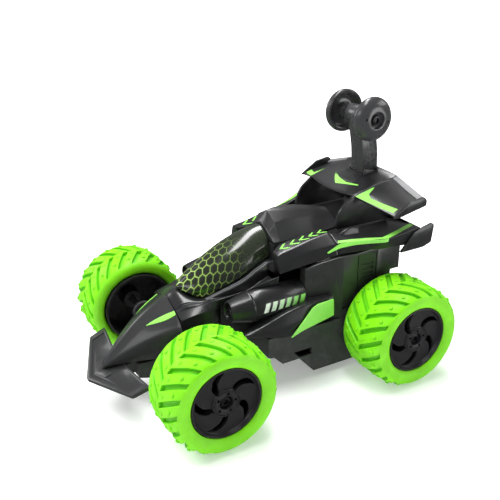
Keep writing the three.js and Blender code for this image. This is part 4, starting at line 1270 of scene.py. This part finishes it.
class STUNTCAR_OT_tail(Operator):
    """Build the tail's arched walls, roof, upper wings and the arm's socket"""
    bl_idname = "stuntcar.tail"
    bl_label = "Tail"

    def execute(self, context):
        edge = context.scene.car_shells.edge / MM
        arc = curve_through(TAIL_ARC, 5)
        wall = [*arc, *curve_through(ROOF_LINE, 3)[1:], (88.0, 108.0), (84.0, 98.0), (82.0, 89.8)]
        walls, collars, wings = [], [], []
        for sign in SIDES.values():
            low, high = sorted(sign * x for x in WALL_X)
            walls.append(round_edges(solid(prism(wall, low, high, "X")), edge, angle=35))
            low, high = sorted(sign * x for x in COLLAR_X)
            collars.append(round_edges(solid(prism(COLLAR, low, high, "X")), 0.3))
            wing = tail_wing()
            wings.append(round_edges(solid(wing if sign > 0 else mirror(wing)), edge * 0.8))
        roof, socket = solid(tail_roof()), solid(middle_block(*SOCKET))
        for obj in (roof, socket):
            combine(obj, "DIFFERENCE", middle_block(*SOCKET_ROOM))
        round_edges(roof, edge * 0.8)
        round_edges(socket, 0.3)
        tail = merge("tail", *walls, roof, socket, *collars, *wings, *winglets(UPPER_WINGLET, edge * 0.8))
        place(tail, "tail_shell", "root", FINISHES["shell"], "black_plastic", "tail")
        return {"FINISHED"}


# ---- flanks ----
POD_PROFILE = (
    (-33.6, 0.0), (-33.6, 5.0), (-36.8, 5.2), (-37.4, 5.6), (-37.3, 6.2), (-35.9, 6.7), (-25.0, 9.25),
    (-24.6, 9.45), (-23.8, 9.45), (-23.5, 9.25), (-23.1, 9.25), (-22.8, 9.4), (-15.4, 9.5), (-6.0, 9.5),
    (11.2, 9.4), (11.8, 8.9), (11.8, 0.0),
)
VANE_COUNT = 9
VANE_BLOCK = (0.8, 5.0, -35.8, -33.4, -0.3, 0.3)
# A vane leans this much for each step back from its middle.
VANE_LEAN, VANE_MIDDLE_Y = 0.55, -34.6
SPINNER_PROFILE = ((-36.6, 0.0), (-36.0, 0.7), (-34.8, 1.4), (-33.4, 1.7), (-33.4, 0.0))


def pod_object():
    """An intake pod with a ring of leaning vanes round a spinner in its mouth."""
    shell = solid(turned(POD_PROFILE, POD_X, POD_Z, 72, axis="Y"))
    vanes = []
    for k in range(VANE_COUNT):
        c, s = on_circle((0.0, 0.0), 1.0, 2 * math.pi * k / VANE_COUNT)
        vane = moved(block(*VANE_BLOCK), lambda x, y, z: (x, y, z + (y - VANE_MIDDLE_Y) * VANE_LEAN))
        vanes.append(moved(vane, lambda x, y, z, c=c, s=s: (POD_X + x * c - z * s, y, POD_Z + x * s + z * c)))
    spinner = turned(SPINNER_PROFILE, POD_X, POD_Z, 24, "Y")
    return merge("pod", shell, round_edges(solid(together(*vanes)), 0.12), solid(spinner))


# y, out, top, middle, low.
FAIRING_STATIONS = (
    (-32.0, 41.0, 44.8, 43.9, 42.8), (-22.0, 43.8, 47.6, 44.6, 40.8), (-4.0, 45.6, 53.6, 45.0, 37.2),
    (10.0, 45.8, 55.8, 47.0, 38.8), (28.0, 45.8, 56.8, 50.0, 44.2),
)
# The side panel's place in plan and the tub's box, both cut out of the fairing.
FLANK_PLAN = ((20.0, 11.9), (36.3, 11.9), (40.3, 30.2), (42.3, 36.0), (20.0, 60.0))
TUB_BOX = (20.0, 42.3, -40.0, 60.0, 0.0, 38.3)


def fairing_section(out, top, middle, low):
    ring = [(36.0, low + 0.4), (36.0, top - 0.4), (out - 2.6, top), (out, middle), (out - 1.4, low)]
    return filleted(ring, [0.2, 0.2, 1.2, 2.6, 0.6], 4)


def fairing_object():
    obj = solid(body_loft(FAIRING_STATIONS, fairing_section, mirrored_half=False))
    combine(obj, "DIFFERENCE", prism(FLANK_PLAN, 0.0, 100.0, "Z"), block(*TUB_BOX))
    return round_edges(obj, 0.3, 50)


FAIRING_PANEL_X = (46.1, 46.9)
FAIRING_PANEL = ((-4.0, 37.8), (11.0, 54.0), (14.6, 55.6), (25.8, 56.2), (26.4, 45.0), (3.5, 40.4))
PANEL_PLAN = ((29.5, 12.2), (36.0, 12.2), (40.0, 30.2), (42.0, 36.0), (42.0, 79.5), (40.0, 79.5),
              (40.0, 36.6), (38.0, 31.0), (34.0, 14.2), (29.5, 14.2))
PANEL_OUTLINE = ((12.0, 38.4), (12.0, 74.6), (20.0, 77.2), (34.0, 79.8), (62.6, 80.6), (79.5, 79.4),
                 (79.5, 63.0), (72.0, 63.0), (72.0, 44.4), (36.0, 44.4), (36.0, 38.4))
# The panel lines' and the louvres' first edges: y for the upright lines, z for the louvres.
PANEL_LINES, LOUVRES = (46.5, 60.6), (62.0, 65.0, 68.0, 71.0)


def fairing_panel_object():
    return round_edges(solid(prism(filleted(FAIRING_PANEL, 0.4, 2), *FAIRING_PANEL_X, "X")), 0.2)


def panel_object():
    """The side panel, with two upright panel lines and a row of louvres pressed into its face."""
    obj = solid(prism(PANEL_PLAN, 20.0, 100.0, "Z"))
    combine(obj, "INTERSECT", prism(PANEL_OUTLINE, 20.0, 60.0, "X"))
    grooves = [block(41.4, 43.0, y, y + 0.6, 45.5, 78.4) for y in PANEL_LINES]
    grooves += [block(41.4, 43.0, 49.5, 58.5, z, z + 1.1) for z in LOUVRES]
    round_edges(obj, 0.35, angle=40)
    return combine(obj, "DIFFERENCE", *grooves)


class STUNTCAR_OT_flanks(Operator):
    """Build the intake pods, side fairings, their green panels and the side panels"""
    bl_idname = "stuntcar.flanks"
    bl_label = "Flanks"

    def execute(self, context):
        pair_of(pod_object, "turbine", FINISHES["shell"], "charcoal_plastic")
        pair_of(fairing_object, "side_fairing", FINISHES["shell"], "charcoal_plastic")
        pair_of(fairing_panel_object, "fairing_panel", FINISHES["trim"], "lime_trim")
        pair_of(panel_object, "side_panel", FINISHES["charcoal"], "charcoal_plastic")
        return {"FINISHED"}


# ---- wheelie arm ----
ARM_PIN = (73.0, 154.0)
ARM_HALF_WIDTH = 6.2
ARM_STALK = (
    (74.5, 105.0), (86.2, 105.0), (86.2, 118.0), (85.4, 132.0), (82.4, 146.0), (79.6, 155.0), (76.4, 159.6),
    (70.6, 159.6), (67.4, 156.4), (67.4, 151.8), (71.0, 145.0), (73.6, 132.0), (74.5, 118.0),
)
ARM_WHEEL_X = 12.5
ARM_WHEEL_PROFILE = (
    (-2.0, 2.3), (-2.0, 4.0), (-1.7, 4.4), (3.4, 4.8), (3.6, 5.1), (3.6, 9.4), (3.3, 9.8), (0.9, 11.0),
    (0.2, 11.8), (0.0, 12.8), (0.5, 13.5), (1.6, 13.8), (2.7, 13.75), (3.8, 13.4), (5.0, 12.5), (6.2, 11.0),
    (7.0, 9.2), (7.45, 7.4), (7.6, 5.7), (7.55, 5.3), (7.2, 5.05), (5.5, 4.9), (5.2, 4.5), (5.1, 2.3),
)
# The two small holes in a roller's face: their circle, their turns in degrees and their profile.
FACE_HOLE_CIRCLE, FACE_HOLE_TURNS = 8.4, (170, -10)
FACE_HOLE = ((6.2, 0.0), (6.2, 0.85), (9.0, 0.85), (9.0, 0.0))
PIN_HOLE = ((-10.0, 0.0), (-10.0, 2.3), (10.0, 2.3), (10.0, 0.0))
# A long shallow recess down the arm's rear face.
ARM_RECESS = (3.6, 85.6, 88.0, 118.0, 131.0)


def on_arm(profile):
    return [(x + ARM_WHEEL_X, radius) for x, radius in profile]


def arm_object(edge):
    smooth = [*ARM_STALK[:3], *curve_through(ARM_STALK[2:], 3)[1:]]
    obj = solid(prism(smooth, -ARM_HALF_WIDTH, ARM_HALF_WIDTH, "X"))
    combine(obj, "DIFFERENCE", turned(PIN_HOLE, *ARM_PIN, 40), middle_block(*ARM_RECESS))
    return round_edges(obj, edge * 1.6, angle=40, segments=3)


def arm_wheel_object():
    obj = solid(turned(on_arm(ARM_WHEEL_PROFILE), *ARM_PIN, 96))
    for turn in FACE_HOLE_TURNS:
        middle = on_circle(ARM_PIN, FACE_HOLE_CIRCLE, math.radians(turn))
        combine(obj, "DIFFERENCE", turned(on_arm(FACE_HOLE), *middle, 24))
    return round_edges(obj, 0.15, angle=60)


class STUNTCAR_OT_arm(Operator):
    """Build the wheelie arm, its rollers and their screws"""
    bl_idname = "stuntcar.arm"
    bl_label = "Wheelie arm"

    def execute(self, context):
        edge = context.scene.car_shells.edge / MM
        place(arm_object(edge), "stunt_arm_stalk", "root", FINISHES["graphite"], "charcoal_plastic",
              "stunt_arm")
        pair_of(arm_wheel_object, "arm_wheel", FINISHES["graphite"], "charcoal_plastic", "arm_roller_{side}")
        pair_of(lambda: screw_object(*ARM_PIN, *ARM_SCREW), "arm_screw", FINISHES["dark_steel"], "steel")
        return {"FINISHED"}


# ---- markings ----
CHEVRON_PLACES = (3.6, 10.6, 17.4, 24.0, 30.4)
CHEVRON_X, CHEVRON_REACH = 23.0, 3.2
# Where a strip starts and ends in front of or behind its chevron's place, for its outer and inner line.
CHEVRON_OUTER, CHEVRON_INNER = (-2.2, 2.4), (-0.3, 4.0)


def chevron(y, sign):
    """A small arrowhead that points forwards, as two strips."""
    strips = []
    for way in (1, -1):
        end = sign * (CHEVRON_X + way * CHEVRON_REACH)
        strips.append([[(sign * CHEVRON_X, y + first), (end, y + last)]
                       for first, last in (CHEVRON_OUTER, CHEVRON_INNER)])
    return strips


DECK_STRIPE = (
    ((36.7, 34.6), (40.5, 44.0), (44.7, 52.0), (49.9, 62.4), (47.6, 74.0), (44.8, 86.6)),
    ((35.2, 35.4), (38.4, 44.4), (42.0, 52.6), (46.6, 60.4), (44.0, 73.0), (40.6, 86.6)),
)
# The stripe's run along the deck's flank, as (y, z).
FLANK_STRIPE = (
    ((27.0, 82.6), (36.0, 87.2), (44.0, 88.1), (52.0, 88.7), (62.6, 89.3)),
    ((27.6, 82.0), (36.0, 84.6), (44.0, 85.8), (52.0, 86.4), (62.6, 87.2)),
)
WING_ARROW = (
    (((24.3, 55.6), (31.0, 58.6), (39.6, 62.6), (47.4, 67.0)),
     ((24.5, 57.0), (31.8, 62.8), (39.5, 66.6), (46.6, 71.0))),
    (((24.3, 55.6), (24.6, 62.0), (24.8, 69.0)), ((31.0, 62.4), (27.6, 63.4), (25.3, 69.4))),
)
ROOF_ACCENT = (
    (((0.0, 57.6), (-5.0, 60.8), (-11.0, 65.4)), ((0.0, 62.6), (-4.4, 63.4), (-10.4, 66.2))),
    (((0.0, 57.6), (6.0, 59.8), (16.0, 63.2)), ((0.0, 62.6), (6.0, 61.8), (15.8, 64.2))),
)
WING_LIP = (((24.6, 84.4), (36.0, 84.9), (49.4, 86.2)), ((24.6, 87.8), (36.0, 88.6), (49.4, 89.6)))
# The slanted bars on the pods' flanks: the first one's front foot, as (y, z), and the others' pitch.
BAR_COUNT, BAR_FOOT, BAR_PITCH = 6, (-18.5, 54.6), 4.9
BAR_LEAN, BAR_HEIGHT, BAR_WIDTH = 2.0, 5.6, 3.0
# The bars fade from pale to green between these two places.
BAR_FADE = ((-20.0 + WHEELBASE_MIDDLE_Y) * MM, (6.0 + WHEELBASE_MIDDLE_Y) * MM)
# The pad's ribs: the first one's y, its half length, how much shorter each next one is, and their depth.
PAD_RIB_COUNT, PAD_FRONT_Y, PAD_RIB_PITCH = 9, 64.6, 1.0
PAD_HALF, PAD_TAPER, PAD_RIB_DEPTH = 11.0, 0.35, 0.5


def slanted_bars(pod):
    bars = []
    for k in range(BAR_COUNT):
        y, z = BAR_FOOT[0] + BAR_PITCH * k, BAR_FOOT[1]
        front = [(y, z), (y + BAR_LEAN, z + BAR_HEIGHT)]
        rear = [(y + BAR_WIDTH, z) for y, z in front]
        bars.append(ribbon(front, rear, pod, axis="X", lift=0.08, step=0.8))
    return together(*bars)


def grip_ribs(tail):
    """A ribbed pad on the roof in front of the arm."""
    ribs = []
    for k in range(PAD_RIB_COUNT):
        y, reach = PAD_FRONT_Y + PAD_RIB_PITCH * k, PAD_HALF - PAD_TAPER * k
        lines = [[(-reach, y + shift), (reach, y + shift)] for shift in (0.0, PAD_RIB_DEPTH)]
        ribs.append(ribbon(*lines, tail, lift=0.25))
    return together(*ribs)


def lay(form, name, finish, slot="lime_trim"):
    place(solid(form), name, "root", FINISHES[finish], slot)


class STUNTCAR_OT_markings(Operator):
    """Lay the green stripes, chevrons, arrows and bars on the shells"""
    bl_idname = "stuntcar.markings"
    bl_label = "Markings"

    def execute(self, context):
        deck, tail = surfaces("rear_deck_shell"), surfaces("tail_shell")
        flank = ribbon(*FLANK_STRIPE, [*surfaces("shoulder_left_shell"), *deck], axis="X", lift=0.15)
        bars = slanted_bars(surfaces("turbine_left_shell"))
        for side, sign in SIDES.items():
            def flip(lines, sign=sign):
                return [[(sign * x, y) for x, y in line] for line in lines]

            tops = [*surfaces(f"shoulder_{side}_shell"), *deck]
            strips = [ribbon(*strip, tops, lift=0.22, step=0.6)
                      for y in CHEVRON_PLACES for strip in chevron(y, sign)]
            lay(together(*strips), f"chevrons_{side}", "print")
            lay(ribbon(*flip(DECK_STRIPE), deck), f"deck_stripe_{side}", "print")
            lay(flank if side == "left" else mirror(flank), f"flank_stripe_{side}", "print")
            arrow = [ribbon(*flip(lines), tail, lift=0.08) for lines in WING_ARROW]
            lay(together(*arrow), f"wing_arrow_{side}", "print")
            lay(ribbon(*flip(WING_LIP), tail, lift=0.5), f"wing_lip_{side}", "grey_lip", "black_plastic")
            lay(bars if side == "left" else mirror(bars), f"pod_bars_{side}", "bars")
        accent = [ribbon(*lines, tail, lift=0.08) for lines in ROOF_ACCENT]
        lay(together(*accent), "roof_accent", "print")
        lay(grip_ribs(tail), "roof_grip_pad", "grip", "black_plastic")
        return {"FINISHED"}


# ---- frame parts that keep their own shape ----
FRAME_EDGE = 0.3


class STUNTCAR_OT_frame_parts(Operator):
    """Finish the tub, drive train and other parts that show as they are"""
    bl_idname = "stuntcar.frame_parts"
    bl_label = "Chassis and drive"

    def execute(self, context):
        slots = {part["node"]: part["material_slot"] for part in frame["record"]["subparts"]}
        for name, obj in frame["nodes"].items():
            if obj.hide_render:
                continue
            obj.data.materials.clear()
            obj.data.materials.append(FINISHES[NODE_FINISHES[slots[name]]])
            shade(obj, 30)
            bevel = obj.modifiers.new("Rounded edges", "BEVEL")
            bevel.width, bevel.segments = FRAME_EDGE * MM, 2
            bevel.limit_method, bevel.angle_limit = "ANGLE", math.radians(35)
        return {"FINISHED"}


# ---- studio ----
# The camera's place in metres, and its turn in degrees: sideways, downwards and round its own axis.
CAMERA_PLACE = (0.36119, -0.19851, 0.26011)
CAMERA_TURN = (60.767, 23.753, -0.445)
SENSOR_WIDTH = 36.0
# The round floor's reach and the wall's height, in metres, and how much each glows.
FLOOR_STEPS, FLOOR_REACH, WALL_HEIGHT = 96, 12.0, 7.0
FLOOR_GLOW, WALL_GLOW = 0.3, 1.0
WORLD_LIGHT, SUN_LIGHT, SUN_SPREAD, SUN_TILT = 0.19, 3.6, 50, (18, -24, 0)
# Each lamp's name, place, what it is aimed at, width and height, all in metres, and its watts.
SOFTBOXES = (
    ("studio_top_strip", (-0.2, 0.12, 1.05), (0.0, 0.0, 0.06), 0.24, 1.3, 12.0),
    ("studio_left_softbox", (-0.9, -0.55, 0.5), (0.0, 0.0, 0.06), 0.3, 0.5, 2.0),
    ("studio_right_softbox", (1.0, 0.75, 0.12), (0.0, 0.0, 0.06), 0.5, 0.5, 3.0),
    ("studio_front_softbox", (0.25, -0.95, 0.7), (0.0, 0.0, 0.04), 0.9, 0.4, 3.0),
    ("studio_rear_softbox", (0.35, 0.95, 0.6), (0.0, 0.0, 0.08), 0.8, 0.35, 2.5),
)


class STUNTCAR_OT_studio(Operator):
    """Set up the floor, the lights and the camera"""
    bl_idname = "stuntcar.studio"
    bl_label = "Studio"

    def execute(self, context):
        scene, studio = context.scene, context.scene.car_studio
        self.make_camera(scene, studio)
        self.make_floor(studio)
        self.make_lights(scene, studio)
        scene.view_settings.view_transform = "Standard"
        scene.view_settings.look = "None"
        return {"FINISHED"}

    def make_camera(self, scene, studio):
        yaw, pitch, roll = (math.radians(a) for a in CAMERA_TURN)
        level = math.cos(pitch)
        forward = Vector((-math.sin(yaw) * level, math.cos(yaw) * level, -math.sin(pitch)))
        right = Vector((math.cos(yaw), math.sin(yaw), 0.0))
        up = right.cross(forward)
        turned_right = right * math.cos(roll) + up * math.sin(roll)
        turned_up = turned_right.cross(forward)
        data = bpy.data.cameras.new("studio_camera")
        data.lens, data.sensor_width = studio.lens, SENSOR_WIDTH
        data.clip_start, data.clip_end = 0.01, 100.0
        camera = linked("studio_camera", data)
        basis = Matrix((turned_right, turned_up, -forward)).transposed()
        camera.matrix_world = Matrix.Translation(CAMERA_PLACE) @ basis.to_4x4()
        scene.camera = camera

    def make_floor(self, studio):
        """A wide round floor with a low pale wall far behind it."""
        rim = [on_circle((0.0, 0.0), FLOOR_REACH, 2 * math.pi * k / FLOOR_STEPS) for k in range(FLOOR_STEPS)]
        lower, upper = [(x, y, 0.0) for x, y in rim], [(x, y, WALL_HEIGHT) for x, y in rim]
        self.backdrop("studio_floor", lower, [tuple(range(FLOOR_STEPS))], studio, FLOOR_GLOW)
        sides = grid_faces(2, FLOOR_STEPS, close_columns=True)
        wall = self.backdrop("studio_wall", lower + upper, sides, studio, WALL_GLOW)
        wall.visible_diffuse = False

    def backdrop(self, name, points, faces, studio, glow):
        mesh = bpy.data.meshes.new(name)
        mesh.from_pydata(points, [], faces)
        obj = linked(name, mesh)
        n = Nodes(f"{name}_paper")
        paper = n.noise(3.0, 4.0)
        shade_share = n.ramp(paper, 0.0, 1.0)
        n.set(Base_Color=n.mix(shade_share, tone(studio.floor_color, 0.985), tone(studio.floor_color)),
              Roughness=n.ramp(paper, 0.75, 0.85))
        n.set(Specular_IOR_Level=0.1, Emission_Color=(1.0, 1.0, 1.0, 1.0), Emission_Strength=glow)
        mesh.materials.append(n.material)
        obj.visible_glossy = False
        return obj

    def make_lights(self, scene, studio):
        gain = studio.light
        world = bpy.data.worlds.new("studio_world")
        world.use_nodes = True
        background = world.node_tree.nodes["Background"]
        background.inputs["Color"].default_value = (1.0, 1.0, 1.0, 1.0)
        background.inputs["Strength"].default_value = WORLD_LIGHT * gain
        scene.world = world
        sun = bpy.data.lights.new("studio_sky_panel", "SUN")
        sun.energy, sun.angle = SUN_LIGHT * gain, math.radians(SUN_SPREAD)
        lamp = linked("studio_sky_panel", sun)
        lamp.rotation_euler = [math.radians(a) for a in SUN_TILT]
        lamp.visible_glossy = False
        for name, place_at, target, width, height, power in SOFTBOXES:
            data = bpy.data.lights.new(name, "AREA")
            data.shape, data.size, data.size_y = "RECTANGLE", width, height
            data.energy = power * gain
            light = linked(name, data)
            light.location = place_at
            aim = Vector(target) - Vector(place_at)
            light.rotation_euler = aim.to_track_quat("-Z", "Y").to_euler()


OPERATORS = (
    STUNTCAR_OT_studio, STUNTCAR_OT_tyres, STUNTCAR_OT_rims, STUNTCAR_OT_nose, STUNTCAR_OT_cowl,
    STUNTCAR_OT_canopy, STUNTCAR_OT_engine_cover, STUNTCAR_OT_shoulders, STUNTCAR_OT_rear_deck,
    STUNTCAR_OT_tail, STUNTCAR_OT_flanks, STUNTCAR_OT_arm, STUNTCAR_OT_markings, STUNTCAR_OT_frame_parts,
)


class STUNTCAR_PT_builder(Panel):
    """Lists the car's settings and the steps that build it"""
    bl_label = "Stunt Car"
    bl_idname = "STUNTCAR_PT_builder"
    bl_space_type = "VIEW_3D"
    bl_region_type = "UI"
    bl_category = "Stunt Car"

    def draw(self, context):
        layout = self.layout
        for settings in SETTINGS:
            group = getattr(context.scene, settings)
            box = layout.box()
            for name in group.bl_rna.properties.keys():
                if name not in ("rna_type", "name"):
                    box.prop(group, name)
        for operator in OPERATORS:
            layout.operator(operator.bl_idname)


CLASSES = (*SETTINGS.values(), *OPERATORS, STUNTCAR_PT_builder)


def register():
    for cls in CLASSES:
        bpy.utils.register_class(cls)
    for name, group in SETTINGS.items():
        setattr(bpy.types.Scene, name, PointerProperty(type=group))


def unregister():
    for name in SETTINGS:
        delattr(bpy.types.Scene, name)
    for cls in reversed(CLASSES):
        bpy.utils.unregister_class(cls)


def main():
    register()
    make_finishes(bpy.context.scene)
    for operator in OPERATORS:
        family, step = operator.bl_idname.split(".")
        getattr(getattr(bpy.ops, family), step)()


if __name__ == "__main__":
    main()
